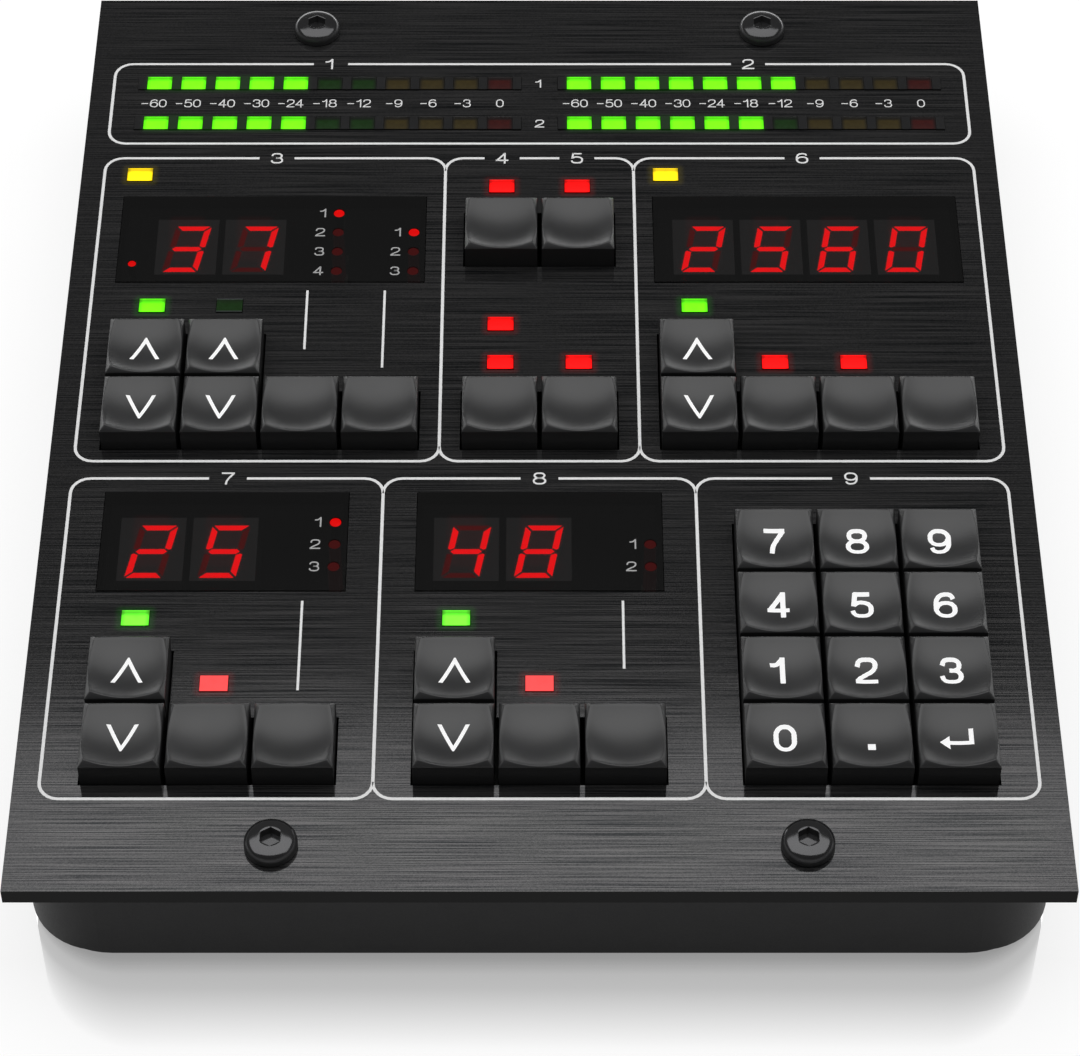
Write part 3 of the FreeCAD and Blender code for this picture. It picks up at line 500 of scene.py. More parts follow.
# %% Base, feet and inner parts
SKINS = [
    ("base_tub", "base_skin", (0.012, 0.012, 0.0125), (0.016, 0.016, 0.0165), 0.55, 5200.0, 2.0e-5,
     0.0, 0.18),
    ("rubber_feet", "foot_rubber", (0.018, 0.018, 0.018), (0.03, 0.029, 0.028), 0.85, 2600.0,
     3.0e-5, 0.0, 0.2),
    ("main_board", "board_lacquer", (0.006, 0.009, 0.007), (0.01, 0.014, 0.011), 0.45, 2500.0, 8.0e-6),
    ("key_switches", "switch_plastic", (0.012, 0.012, 0.013), (0.02, 0.02, 0.021), 0.5, 3000.0, 1.0e-5),
    ("controller_chip driver_chips", "chip_epoxy", (0.02, 0.02, 0.021), (0.032, 0.032, 0.033), 0.6,
     4000.0, 1.0e-5),
    ("chip_leds", "lamp_chip", (0.55, 0.54, 0.45), (0.7, 0.69, 0.6), 0.4, 3000.0, 5.0e-6),
    ("board_screws", "screw_steel", (0.42, 0.42, 0.43), (0.55, 0.55, 0.56), 0.3, 2500.0, 6.0e-6, 1.0),
    ("threaded_inserts", "insert_brass", (0.55, 0.38, 0.15), (0.68, 0.49, 0.22), 0.32, 2500.0,
     1.0e-5, 1.0),
    ("usb_socket", "socket_nickel", (0.5, 0.49, 0.46), (0.62, 0.61, 0.58), 0.26, 2200.0, 5.0e-6, 1.0),
    ("meter_frames", "meter_bar", (0.012, 0.012, 0.0125), (0.016, 0.016, 0.0165), 0.4, 4000.0,
     8.0e-6, 0.0, 0.12),
    ("digit_modules", "digit_module", (0.26, 0.26, 0.27), (0.3, 0.3, 0.31), 0.6, 3500.0, 6.0e-6),
]
skins = {}
for solids, *look in SKINS:
    skins[solids] = grained(*look)
    dress(skins[solids], *solids.split())
bar_skin, module_skin = skins["meter_frames"], skins["digit_modules"]
light_up(shader_of(bar_skin), shine_of(bar_skin.node_tree, STRIP_SPOTS))
# The tops of the figure modules glow faintly: painted light standing in for light that the pane keeps
# from them.
light_up(shader_of(module_skin), (0.062, 0.058, 0.058), facing_up(module_skin.node_tree, 0.5, 0.8))

# %% [markdown]
# The windows are panes of smoked acrylic. Real transmission would keep nearly all light from the
# figures beneath, so the pane is a dark glossy surface with some opacity: each face dims what is
# under it, and the figures are brighter by as much. A faint red haze stands for the light of the
# figures that the plastic scatters.

# %% Smoked windows
PANE_OPACITY = 0.7
HAZE_SIZE = (3.6, 7.6)
HAZE_SHINE = (0.007, 0.0, 0.0)
DIGIT_SPOTS = solids_of("digit_modules")
glass, tree, shader = new_material("smoked_pane", (0.0058, 0.0058, 0.0058), 0.06)
glass.surface_render_method = "BLENDED"
pane_gloss = spread(tree, even_noise(tree, 900.0), 0.05, 0.08)
fill(shader, {"Alpha": PANE_OPACITY, "Roughness": pane_gloss})
light_up(shader, shine_of(tree, [(spot, HAZE_SIZE, HAZE_SHINE) for spot in DIGIT_SPOTS]))
dress(glass, "wide_windows", "narrow_windows")

# %% [markdown]
# A key is a square cap with a 45 degree bevel round its top and a round dish pressed into it, which
# cuts the bevel in a bowed rim. A cube cut with a ball would leave ragged edges to shade, so a grid
# is bent to the dish instead, with its border on the rim, and the border is then extruded down the
# bevel, down the side and up inside the hollow cap.

# %% The dish and its rim
KEY_HALF = 5.215
KEY_BEVEL = 0.8
KEY_TOP = 25.58
KEY_SHOULDER = KEY_TOP - KEY_BEVEL
KEY_SKIRT = 17.4
KEY_WALL = 1.1
DISH_RADIUS = 13.5
DISH_LOW = 23.98
CEILING = DISH_LOW - 1.4
BALL_SHIFT = DISH_LOW + DISH_RADIUS - KEY_TOP - KEY_HALF + KEY_BEVEL


def dish_level(x, y):
    """Height of the dish over a place on the key, measured from the key's middle."""
    return DISH_LOW + DISH_RADIUS - math.sqrt(DISH_RADIUS ** 2 - x * x - y * y)


def rim_reach(across):
    """Where the dish meets the bevel at some distance across: a ball cut by a slanted plane."""
    return (math.sqrt(2 * (DISH_RADIUS ** 2 - across ** 2) - BALL_SHIFT ** 2) - BALL_SHIFT) / 2


rim_corner = (math.sqrt(3 * DISH_RADIUS ** 2 - 2 * BALL_SHIFT ** 2) - BALL_SHIFT) / 3
print("rim", round(rim_reach(0.0), 3), "to", round(rim_corner, 3), "mm from the middle")

# %% The key cap
GRID_CELLS = 20
EDGE_SOFTNESS = 0.1
STEM_RADIUS = 1.7
STEM_LENGTH = 9.2
STEM_MIDDLE = 18.3
CORNER_ANGLE = math.radians(35)


def border_edges(shape):
    """The edges that have a face on one side only."""
    return [edge for edge in shape.edges if edge.is_boundary]


def on_diagonal(vertex):
    """Whether a vertex lies as far across as along."""
    return abs(abs(vertex.co.x) - abs(vertex.co.y)) < 0.01


def carry_border(shape, half, level):
    """Extrudes the open border and lays it on a square of that half size at that height."""
    edges = border_edges(shape)
    corners = [vertex for edge in edges for vertex in edge.verts if on_diagonal(vertex)]
    before = max(max(abs(vertex.co.x), abs(vertex.co.y)) for vertex in corners)
    for vertex in verts_in(bmesh.ops.extrude_edge_only(shape, edges=edges)["geom"]):
        x, y = vertex.co.x, vertex.co.y
        if abs(x) >= abs(y):
            vertex.co = (math.copysign(half, x), y / before * half, level)
        else:
            vertex.co = (x / before * half, math.copysign(half, y), level)
    return edges


def key_cap():
    """One key cap in the middle of the plate, in millimetres."""
    cap = bmesh.new()
    bmesh.ops.create_grid(cap, x_segments=GRID_CELLS, y_segments=GRID_CELLS, size=1.0)
    for vertex in cap.verts:
        u, v = vertex.co.x, vertex.co.y
        vertex.co.x = u * rim_reach(v * rim_corner)
        vertex.co.y = v * rim_reach(u * rim_corner)
        vertex.co.z = dish_level(vertex.co.x, vertex.co.y)
    rim = carry_border(cap, KEY_HALF, KEY_SHOULDER)
    shoulder = carry_border(cap, KEY_HALF, KEY_SKIRT)
    corners = [edge for edge in cap.edges if all(on_diagonal(vertex) for vertex in edge.verts)
               and edge.calc_face_angle(0.0) > CORNER_ANGLE]
    carry_border(cap, KEY_HALF - KEY_WALL, KEY_SKIRT)
    carry_border(cap, KEY_HALF - KEY_WALL, CEILING)
    bmesh.ops.holes_fill(cap, edges=border_edges(cap), sides=0)
    soften(cap, list(set(rim + shoulder + corners)), EDGE_SOFTNESS)
    stem = bmesh.new()
    bmesh.ops.create_cone(stem, cap_ends=True, segments=24, radius1=STEM_RADIUS,
                          radius2=STEM_RADIUS, depth=STEM_LENGTH)
    move(stem, 0.0, 0.0, STEM_MIDDLE)
    add_shape(cap, stem)
    return cap


# %% [markdown]
# Key plastic is satin: a very fine grain softens what it mirrors, and fingers have polished it a
# little in places. The grain sits in the bump, the polish in the roughness.

# %% Key plastic
key_plastic, tree, shader = new_material("key_plastic", (0.018, 0.018, 0.0186), 0.39)
worn = even_noise(tree, 180.0, 3.0)
worn_share = spread(tree, worn, 0.0, 1.0)
upper_colour = between(tree, worn_share, (0.0158, 0.0160, 0.0166), (0.0198, 0.0200, 0.0208))
is_upper = facing_up(tree, 0.1, 0.6)
# The sides get a lower specular level than the top: painted shade that keeps them darker.
fill(shader, {"Base Color": between(tree, is_upper, (0.018, 0.018, 0.0184), upper_colour),
              "Roughness": spread(tree, worn, 0.35, 0.41),
              "Specular IOR Level": spread(tree, is_upper, 0.15, 0.62, 0.0, 1.0)})
add_bump(tree, shader, even_noise(tree, 4200.0), 0.3, 0.00002)
print("key plastic nodes:", len(tree.nodes))

# %% Put a cap on every key
key_nodes = sorted(name for name in nodes if "_key" in name and name != "key_switches")
template = key_cap()
for name in key_nodes:
    cap = template.copy()
    move(cap, *middle_of(name))
    finish_piece(cap, name.replace("_key", "_cap"), key_plastic, name + "_body", (name,))
template.free()
print("caps:", len(key_nodes))

# %% [markdown]
# The white marks are printed. A mark that lies exactly in a surface flickers, so each is a closed
# film that stands a hundredth of a millimetre proud and reaches a little into what carries it. The
# figures are wide and drawn with an even line. A font's line would swell and thin, so each figure
# is a few strokes, and a bevelled curve along them gives the even line.

# %% The strokes of the figures
STROKES = {
    "0": [("loop", [(0.5, 1), (0.87, 0.86), (0.97, 0.5), (0.87, 0.14), (0.5, 0), (0.13, 0.14),
                    (0.03, 0.5), (0.13, 0.86)])],
    "1": [("line", [(0.62, -0.085), (0.62, 1.085)]),
          ("bend", [(-0.03, 0.75), (0.3, 0.78), (0.6, 1.0)])],
    "2": [("bend", [(0.02, 0.68), (0.14, 0.93), (0.5, 1), (0.88, 0.93), (0.97, 0.72), (0.84, 0.52),
                    (0.45, 0.32), (0.12, 0.14), (0, 0.03)]), ("line", [(-0.1, 0), (1.08, 0)])],
    "3": [("bend", [(0.04, 0.74), (0.16, 0.94), (0.5, 1), (0.84, 0.93), (0.94, 0.75), (0.82, 0.57),
                    (0.42, 0.53)]),
          ("bend", [(0.42, 0.53), (0.86, 0.48), (1, 0.27), (0.87, 0.06), (0.5, 0), (0.13, 0.06),
                    (0, 0.27)])],
    "4": [("line", [(0.74, -0.085), (0.74, 1.085)]), ("line", [(0.74, 1.02), (0.0, 0.25)]),
          ("line", [(-0.1, 0.27), (1.09, 0.27)])],
    "5": [("line", [(0.09, 1), (0.95, 1)]), ("line", [(0.17, 1.05), (0.07, 0.46)]),
          ("bend", [(0.07, 0.5), (0.28, 0.62), (0.6, 0.64), (0.9, 0.54), (1, 0.32), (0.87, 0.07),
                    (0.5, 0), (0.13, 0.06), (0, 0.25)])],
    "6": [("bend", [(0.94, 0.79), (0.82, 0.95), (0.52, 1), (0.16, 0.88), (0.01, 0.5), (0.1, 0.13),
                    (0.5, 0), (0.87, 0.08), (1, 0.32), (0.88, 0.55), (0.54, 0.63), (0.2, 0.56),
                    (0.03, 0.38)])],
    "7": [("line", [(-0.05, 1), (1.09, 1)]),
          ("bend", [(1.0, 0.97), (0.66, 0.6), (0.44, 0.28), (0.36, -0.085)])],
    "8": [("loop", [(0.5, 1), (0.83, 0.94), (0.93, 0.77), (0.8, 0.6), (0.5, 0.54), (0.2, 0.6),
                    (0.07, 0.77), (0.17, 0.94)]),
          ("loop", [(0.5, 0.54), (0.86, 0.47), (1, 0.27), (0.87, 0.07), (0.5, 0), (0.13, 0.07),
                    (0, 0.27), (0.14, 0.47)])],
    "-": [("line", [(-0.02, 0.46), (0.92, 0.46)])],
}
STROKES["9"] = [(kind, [(1 - x, 1 - y) for x, y in points]) for kind, points in STROKES["6"]]
print("figures drawn:", len(STROKES))

# %% Strokes to a thin closed shape
def new_curve(width, steps):
    """An empty curve that draws an even round line."""
    curve = bpy.data.curves.new("strokes", "CURVE")
    curve.dimensions = "3D"
    curve.bevel_depth = width / 2
    curve.bevel_resolution = 1
    curve.use_fill_caps = True
    curve.resolution_u = steps
    return curve


def shape_of_curve(curve):
    """The mesh of a curve, as a drawn shape; the curve is removed."""
    holder = bpy.data.objects.new("strokes", curve)
    scene.collection.objects.link(holder)
    bpy.context.view_layer.update()
    seen = holder.evaluated_get(bpy.context.evaluated_depsgraph_get())
    mesh = bpy.data.meshes.new_from_object(seen)
    shape = bmesh.new()
    shape.from_mesh(mesh)
    bpy.data.objects.remove(holder)
    bpy.data.curves.remove(curve)
    bpy.data.meshes.remove(mesh)
    bmesh.ops.remove_doubles(shape, verts=shape.verts, dist=0.0001)
    return shape


def curve_shape(paths, width):
    """Even lines along (kind, points) paths, as one closed shape around height 0."""
    curve = new_curve(width, 5)
    for kind, points in paths:
        spline = curve.splines.new("BEZIER")
        spline.bezier_points.add(len(points) - 1)
        spline.use_cyclic_u = kind == "loop"
        handle = "VECTOR" if kind == "line" else "AUTO"
        for bezier, (x, y) in zip(spline.bezier_points, points):
            bezier.co = (x, y, 0.0)
            bezier.handle_left_type = handle
            bezier.handle_right_type = handle
    return shape_of_curve(curve)


# %% Laying print on a surface
FILM_RISE = 0.014
FILM_SINK = 0.03
STRIPS_EACH_WAY = 9
NARROW_ONE = 0.76
FIGURE_GAP = 1.6
LONE_ONE_SHIFT = 0.12


def cut_along(shape, place, normal):
    """Cuts a whole shape along a plane, without taking anything away."""
    everything = shape.verts[:] + shape.edges[:] + shape.faces[:]
    bmesh.ops.bisect_plane(shape, geom=everything, dist=0.0001, plane_co=place, plane_no=normal)


def lay_print(target, shape, x, y, level, cuts=0.0):
    """Lays a thin shape on a level or, cut into strips, on a curved surface."""
    half = max(vertex.co.z for vertex in shape.verts)
    if cuts:
        for number in range(-STRIPS_EACH_WAY, STRIPS_EACH_WAY + 1):
            for normal in ((1.0, 0.0, 0.0), (0.0, 1.0, 0.0)):
                cut_along(shape, Vector(normal) * number * cuts, normal)
        bmesh.ops.triangulate(shape, faces=[face for face in shape.faces if len(face.verts) > 4])
    for vertex in shape.verts:
        share = vertex.co.z / half
        film = share * (FILM_RISE if share > 0.0 else FILM_SINK)
        vertex.co.z = (level(vertex.co.x, vertex.co.y) if cuts else level) + film
    move(shape, x, y)
    add_shape(target, shape)


def lay_figures(target, words, x, y, height, level, wide=0.84, stroke=0.125, cuts=0.0, side=0.0):
    """Prints figures; wide and stroke are shares of the height, side is 1 to end at x."""
    paths, start, line = [], 0.0, stroke * height
    across, along = wide * height - line, height - line
    for sign in words:
        for kind, points in STROKES[sign]:
            paths.append((kind, [(start + u * across, (v - 0.5) * along) for u, v in points]))
        start += (NARROW_ONE if sign == "1" else 1.0) * across + FIGURE_GAP * line
    shape = curve_shape(paths, line)
    places = [vertex.co.x for vertex in shape.verts]
    shift = LONE_ONE_SHIFT * height if words == "1" else 0.0
    move(shape, -(min(places) + max(places)) / 2 - shift, 0.0)
    half = max(vertex.co.x for vertex in shape.verts)
    lay_print(target, shape, x - side * half, y, level, cuts)


# %% [markdown]
# Legends on keys follow the dish. Arrows are extruded polygons, figures are the strokes from above.
# Both are cut into half millimetre strips, so that they can bend.

# %% Arrow shapes
CHEVRON = [(-2.1, -2.1), (-1.54, -2.1), (0.0, 1.17), (1.54, -2.1), (2.1, -2.1), (0.1, 2.13),
           (-0.1, 2.13)]
RETURN_MARK = [(-2.3, -0.7), (-1.0, -1.8), (-1.0, -1.0), (2.1, -1.0), (2.1, 1.5), (1.5, 1.5),
               (1.5, -0.4), (-1.0, -0.4), (-1.0, 0.4)]
DOT_MARK = [(-0.5, -1.9), (0.5, -1.9), (0.5, -0.9), (-0.5, -0.9)]
MARK_HALF = 0.1


def flipped(corners, x_way, y_way):
    """An outline turned over left to right, front to back, or both."""
    return [(x * x_way, y * y_way) for x, y in corners]


def polygon_shape(corners):
    """A flat polygon given thickness."""
    shape = bmesh.new()
    face = shape.faces.new([shape.verts.new((x, y, -MARK_HALF)) for x, y in corners])
    made = bmesh.ops.extrude_face_region(shape, geom=[face])["geom"]
    bmesh.ops.translate(shape, vec=(0.0, 0.0, 2 * MARK_HALF), verts=verts_in(made))
    bmesh.ops.recalc_face_normals(shape, faces=shape.faces)
    return shape


# %% Print ink and key legends
KEY_FIGURE_HEIGHT = 4.4
KEY_FIGURE_WIDE = 0.72
KEY_FIGURE_STROKE = 0.163
LEGEND_CUTS = 0.5


def printing_ink(name, low, high):
    """Matt ink with a faint speckle."""
    made, tree, shader = new_material(name, (high, high, high), 0.6, specular=0.3)
    speckle = spread(tree, even_noise(tree, 2500.0), 0.0, 1.0)
    fill(shader, {"Base Color": between(tree, speckle, low, high)})
    return made


def legend_mark(name):
    """The outline of a key's arrow or dot, if it has one."""
    if "_up_key" in name:
        return CHEVRON
    if "_down_key" in name:
        return flipped(CHEVRON, 1, -1)
    return {"keypad_point_key": DOT_MARK, "keypad_return_key": RETURN_MARK}.get(name)


legend_ink = printing_ink("legend_ink", 0.93, 0.99)
# The legend ink glows a little: painted light that makes it whiter than the lamps alone would.
light_up(shader_of(legend_ink), 1.0, 0.14)
for name in key_nodes:
    x, y = middle_of(name)
    figure = name.split("_")[1]
    mark = legend_mark(name)
    legend = bmesh.new()
    if mark:
        lay_print(legend, polygon_shape(mark), x, y, dish_level, LEGEND_CUTS)
    elif figure in STROKES:
        lay_figures(legend, figure, x, y, KEY_FIGURE_HEIGHT, dish_level, KEY_FIGURE_WIDE,
                    KEY_FIGURE_STROKE, LEGEND_CUTS)
    if legend.verts:
        finish_piece(legend, name.replace("_key", "_legend"), legend_ink, name + "_body")
    else:
        legend.free()
print("pieces so far:", len(PIECES))

# %% [markdown]
# The frames on the plate are ruled lines with rounded corners. A bevelled curve gives an even line;
# it is made a mesh and pressed flat, so that it stays closed but has no height to see.

# %% Ruled lines
LINE_WIDTH = 0.43
THIN_LINE = 0.34
CORNER_ROUND = 2.6
ROUND_HANDLE = 0.5523
panel_print = bmesh.new()


def rounded_points(corners):
    """Bezier points, each with its two handles, for a path that rounds its inner corners."""
    made = []
    path = [Vector((x, y, 0.0)) for x, y in corners]
    for number, corner in enumerate(path):
        if number in (0, len(path) - 1):
            made.append((corner, corner, corner))
            continue
        before = (path[number - 1] - corner).normalized() * CORNER_ROUND + corner
        after = (path[number + 1] - corner).normalized() * CORNER_ROUND + corner
        made.append((before, before, before + (corner - before) * ROUND_HANDLE))
        made.append((after, after + (corner - after) * ROUND_HANDLE, after))
    return made


def lay_line(corners, width=LINE_WIDTH):
    """Rules one line on the plate along a path."""
    curve = new_curve(width, 6)
    spline = curve.splines.new("BEZIER")
    points = rounded_points(corners)
    spline.bezier_points.add(len(points) - 1)
    for bezier, (place, left, right) in zip(spline.bezier_points, points):
        bezier.handle_left_type = "FREE"
        bezier.handle_right_type = "FREE"
        bezier.co, bezier.handle_left, bezier.handle_right = place, left, right
    lay_print(panel_print, shape_of_curve(curve), 0.0, 0.0, PLATE_TOP)


# %% Frames round the sections
FRAME_SIDE = 64.1
METER_FRAME = (51.68, 69.06)
UPPER_FRAME = (-11.44, 48.54)
LOWER_FRAME = (-69.1, -14.61)
UPPER_DIVIDER = 13.86
LOWER_DIVIDER = 21.36
UPPER_HEADING = 38.85
LOWER_HEADING = 42.7
PAIR_HEADING = 5.53
GAP_HALF = 2.6
CORNER_SPACE = CORNER_ROUND + 0.1
SECTIONS = [
    (-FRAME_SIDE, FRAME_SIDE, METER_FRAME, [-BAR_MIDDLE, BAR_MIDDLE]),
    (-FRAME_SIDE, -UPPER_DIVIDER, UPPER_FRAME, [-UPPER_HEADING]),
    (-UPPER_DIVIDER, UPPER_DIVIDER, UPPER_FRAME, [-PAIR_HEADING, PAIR_HEADING]),
    (UPPER_DIVIDER, FRAME_SIDE, UPPER_FRAME, [UPPER_HEADING]),
    (-FRAME_SIDE, -LOWER_DIVIDER, LOWER_FRAME, [-LOWER_HEADING]),
    (-LOWER_DIVIDER, LOWER_DIVIDER, LOWER_FRAME, [0.0]),
    (LOWER_DIVIDER, FRAME_SIDE, LOWER_FRAME, [LOWER_HEADING]),
]
for left, right, (low, high), gaps in SECTIONS:
    first, last = gaps[0] - GAP_HALF, gaps[-1] + GAP_HALF
    top, bottom = high - CORNER_SPACE, low + CORNER_SPACE
    if left > -FRAME_SIDE and right < FRAME_SIDE:
        lay_line([(first, high), (left, high), (left, top)])
        lay_line([(last, high), (right, high), (right, top)])
        lay_line([(left, bottom), (left, low), (right, low), (right, bottom)])
    else:
        lay_line([(first, high), (left, high), (left, low), (right, low), (right, high),
                  (last, high)])
    for one, other in zip(gaps, gaps[1:]):
        lay_line([(one + GAP_HALF, high), (other - GAP_HALF, high)])
print("frame print points:", len(panel_print.verts))

# %% Numbers and short rules on the plate
HEADING_HEIGHT = 2.2
SCALE_HEIGHT = 1.7
SCALE_ROW = 60.4
SCALE_WIDE = 0.71
SCALE_STROKE = 0.105
MINUS_HANG = 0.46
LONG_HANG = 0.12
SCALE_MARKS = ["-60", "-50", "-40", "-30", "-24", "-18", "-12", "-9", "-6", "-3", "0"]
SHORT_RULES = [(-33.24, 9.72, 21.28), (-22.16, 6.18, 21.26), (-31.63, -51.5, -36.35),
               (11.12, -47.9, -36.33)]
headings = [(x, high) for left, right, (low, high), gaps in SECTIONS for x in gaps]
for number, (x, y) in enumerate(headings, 1):
    lay_figures(panel_print, str(number), x, y, HEADING_HEIGHT, PLATE_TOP)
for bar_x in (-BAR_MIDDLE, BAR_MIDDLE):
    for number, mark in enumerate(SCALE_MARKS):
        hang = (MINUS_HANG if mark[0] == "-" else 0.0) + (LONG_HANG if len(mark) == 3 else 0.0)
        lay_figures(panel_print, mark, lens_x(bar_x, number) - hang, SCALE_ROW, SCALE_HEIGHT,
                    PLATE_TOP, SCALE_WIDE, SCALE_STROKE)
for number, row in enumerate(BAR_ROWS, 1):
    lay_figures(panel_print, str(number), 0.0, row, SCALE_HEIGHT, PLATE_TOP)
for x, low, high in SHORT_RULES:
    lay_line([(x, low), (x, high)], THIN_LINE)
finish_piece(panel_print, "panel_print", printing_ink("panel_ink", 0.78, 0.86))
print("headings:", len(headings), "scale marks:", 2 * len(SCALE_MARKS))

# %% [markdown]
# Small round lamps sit in the windows, each beside its number. The numbers are printed on the pane.
# The lamp furthest to the left is the point beside the first figures and has no number.

# %% Numbers on the panes
NUMBER_SPACE = 1.9
PANE_LAMPS = solids_of("window_light_pipes")
POINT_LAMP = min(PANE_LAMPS)
DOT_COLUMNS = {}
for x, y in reversed(PANE_LAMPS):
    if (x, y) != POINT_LAMP:
        DOT_COLUMNS.setdefault(round(x, 1), []).append((x, y))
pane_print = bmesh.new()
for column in DOT_COLUMNS.values():
    for number, (x, y) in enumerate(column, 1):
        lay_figures(pane_print, str(number), x - NUMBER_SPACE, y, SCALE_HEIGHT, GLASS_TOP, side=1.0)
finish_piece(pane_print, "pane_print", printing_ink("pane_ink", 0.40, 0.46))
print("numbered lamps:", [len(column) for column in DOT_COLUMNS.values()])

# %% [markdown]
# A lamp lens is a block of clear coloured plastic. Lit, it is darker at its sides and along a line
# near its rear edge, where the rim turns the light away. That is drawn with a value on the
# vertices, in bands from the rear edge to the front, which the material reads as an attribute.

# %% Lamp materials
GREEN_LIGHT = (0.122, 1.0, 0.002)
RED_LIGHT = (1.0, 0.002, 0.002)
GREEN_PLASTIC = (0.02, 0.1, 0.01)
PAINTED_EDGE_HIGHLIGHT = (0.06, 0.066, 0.068)


def glow_value(tree):
    """How much a place on a lamp glows, read from its vertices."""
    return add_node(tree, "Attribute", "Fac", attribute_name="glow")


def lamp_material(name, light, dark, strength):
    """Coloured plastic that glows; the attribute glow says how much."""
    made, tree, shader = new_material(name, dark, 0.35, specular=0.04)
    level = spread(tree, glow_value(tree), 0.0, 1.1 * strength, 0.0, 1.1)
    cloud = spread(tree, even_noise(tree, 900.0), 0.94, 1.06)
    light_up(shader, light, calculate(tree, "MULTIPLY", level, cloud))
    return made


def dull_material(name, dark, light):
    """Coloured plastic that isn't lit; glow 1 is its colour, 0 painted shade, 2 a painted highlight."""
    made, tree, shader = new_material(name, light, 0.4, specular=0.06)
    level = glow_value(tree)
    body = between(tree, spread(tree, even_noise(tree, 1500.0), 0.0, 1.0), dark, light)
    inside = between(tree, level, 0.009, body)
    edge = spread(tree, level, 0.0, 1.0, 1.0, 2.0)
    fill(shader, {"Base Color": between(tree, edge, inside, PAINTED_EDGE_HIGHLIGHT)})
    return made


green_lit = lamp_material("green_lit", GREEN_LIGHT, GREEN_PLASTIC, 1.9)
pale_green_lit = lamp_material("pale_green_lit", (0.14, 1.0, 0.031), GREEN_PLASTIC, 1.9)
meter_lit = lamp_material("meter_lit", GREEN_LIGHT, GREEN_PLASTIC, 1.9)
yellow_lit = lamp_material("yellow_lit", (1.0, 0.66, 0.002), (0.1, 0.1, 0.01), 2.3)
red_lit = lamp_material("red_lit", RED_LIGHT, (0.1, 0.006, 0.006), 2.3)
pale_red_lit = lamp_material("pale_red_lit", (1.0, 0.068, 0.068), (0.1, 0.03, 0.03), 1.15)
green_dull = dull_material("green_dull", (0.008, 0.027, 0.005), (0.011, 0.036, 0.009))
amber_dull = dull_material("amber_dull", (0.034, 0.025, 0.009), (0.044, 0.033, 0.011))
red_dull = dull_material("red_dull", (0.036, 0.007, 0.0065), (0.048, 0.009, 0.008))
print("lamp materials ready")

# %% Lamp blocks
LENS_SOFTNESS = 0.08
PIPE_STEP = 0.35
EDGE_DEPTH = 0.55
LIT_BANDS = [(0.0, 0.65), (0.14, 0.6), (0.24, 0.36), (0.5, 0.36), (0.7, 0.5), (1.0, 0.9), (1.3, 1.0)]
# Unlit lamps take painted shade and a painted highlight from their bands: below 1 is dark, at the sides
# and near the rear, and above 1 is a pale painted highlight along the rear and front edges.
DULL_BANDS = [(0.0, 2.0), (0.16, 2.0), (0.26, 0.4), (0.6, 0.7), (1.1, 1.0), (2.35, 1.0), (2.5, 1.8)]
LENS_BANDS = [(0.0, 0.08), (0.6, 0.15), (0.95, 1.0)]
LIT = (LIT_BANDS, 0.4)
EVEN = ([(0.0, 1.0)], 1.0)
DULL = (DULL_BANDS, 1.0)
DULL_LENS = (LENS_BANDS, 0.1)


def band_value(bands, depth):
    """The value at some distance from the rear edge, between the steps of a list."""
    for (start, first), (end, second) in zip(bands, bands[1:]):
        if depth < end:
            return first + (second - first) * max(0.0, depth - start) / (end - start)
    return bands[-1][1]


def lamp_block(target, x, y, size, bands, side):
    """One rectangular light pipe: a lens in the plate and a slimmer pipe down to its chip."""
    wide, deep = size
    tall = LAMP_TOP - PLATE_BOTTOM
    block = bmesh.new()
    glow_level = block.verts.layers.float.new("glow")
    bmesh.ops.create_cube(block, size=1.0)
    bmesh.ops.scale(block, vec=(wide, deep, tall), verts=block.verts)
    move(block, x, y, LAMP_TOP - tall / 2)
    bottom = [face for face in block.faces if face.normal.z < -0.5]
    bmesh.ops.inset_region(block, faces=bottom, thickness=PIPE_STEP, use_even_offset=True)
    foot = verts_in(bmesh.ops.extrude_face_region(block, geom=bottom)["geom"])
    bmesh.ops.delete(block, geom=bottom, context="FACES")
    bmesh.ops.translate(block, vec=(0.0, 0.0, LAMP_FOOT - PLATE_BOTTOM), verts=foot)
    top = [face for face in block.faces if face.calc_center_median().z > LAMP_TOP - 0.01]
    rim = list({edge for face in top for edge in face.edges})
    soften(block, rim, LENS_SOFTNESS)
    rear = y + deep / 2
    for depth, value in bands[1:]:
        cut_along(block, (x, rear - depth, LAMP_TOP), (0.0, 1.0, 0.0))
    for way in (-1.0, 1.0):
        cut_along(block, (x + way * (wide / 2 - EDGE_DEPTH), y, LAMP_TOP), (1.0, 0.0, 0.0))
    for vertex in block.verts:
        if vertex.co.z < LAMP_TOP - 0.6 * LENS_SOFTNESS:
            vertex[glow_level] = 0.0
            continue
        inward = wide / 2 - abs(vertex.co.x - x)
        edge = side + (1.0 - side) * min(1.0, inward / EDGE_DEPTH)
        vertex[glow_level] = edge * band_value(bands, rear - vertex.co.y)
    add_shape(target, block)


def lamp_piece(name, spots, size, material, look, colour, node):
    """All lamps of one kind as one piece; a look is its bands and the share at its sides."""
    lamps = bmesh.new()
    lamps.verts.layers.float.new("glow")
    for x, y in spots:
        lamp_block(lamps, x, y, size, *look)
    finish_piece(lamps, name, material, stands_for=(node,))


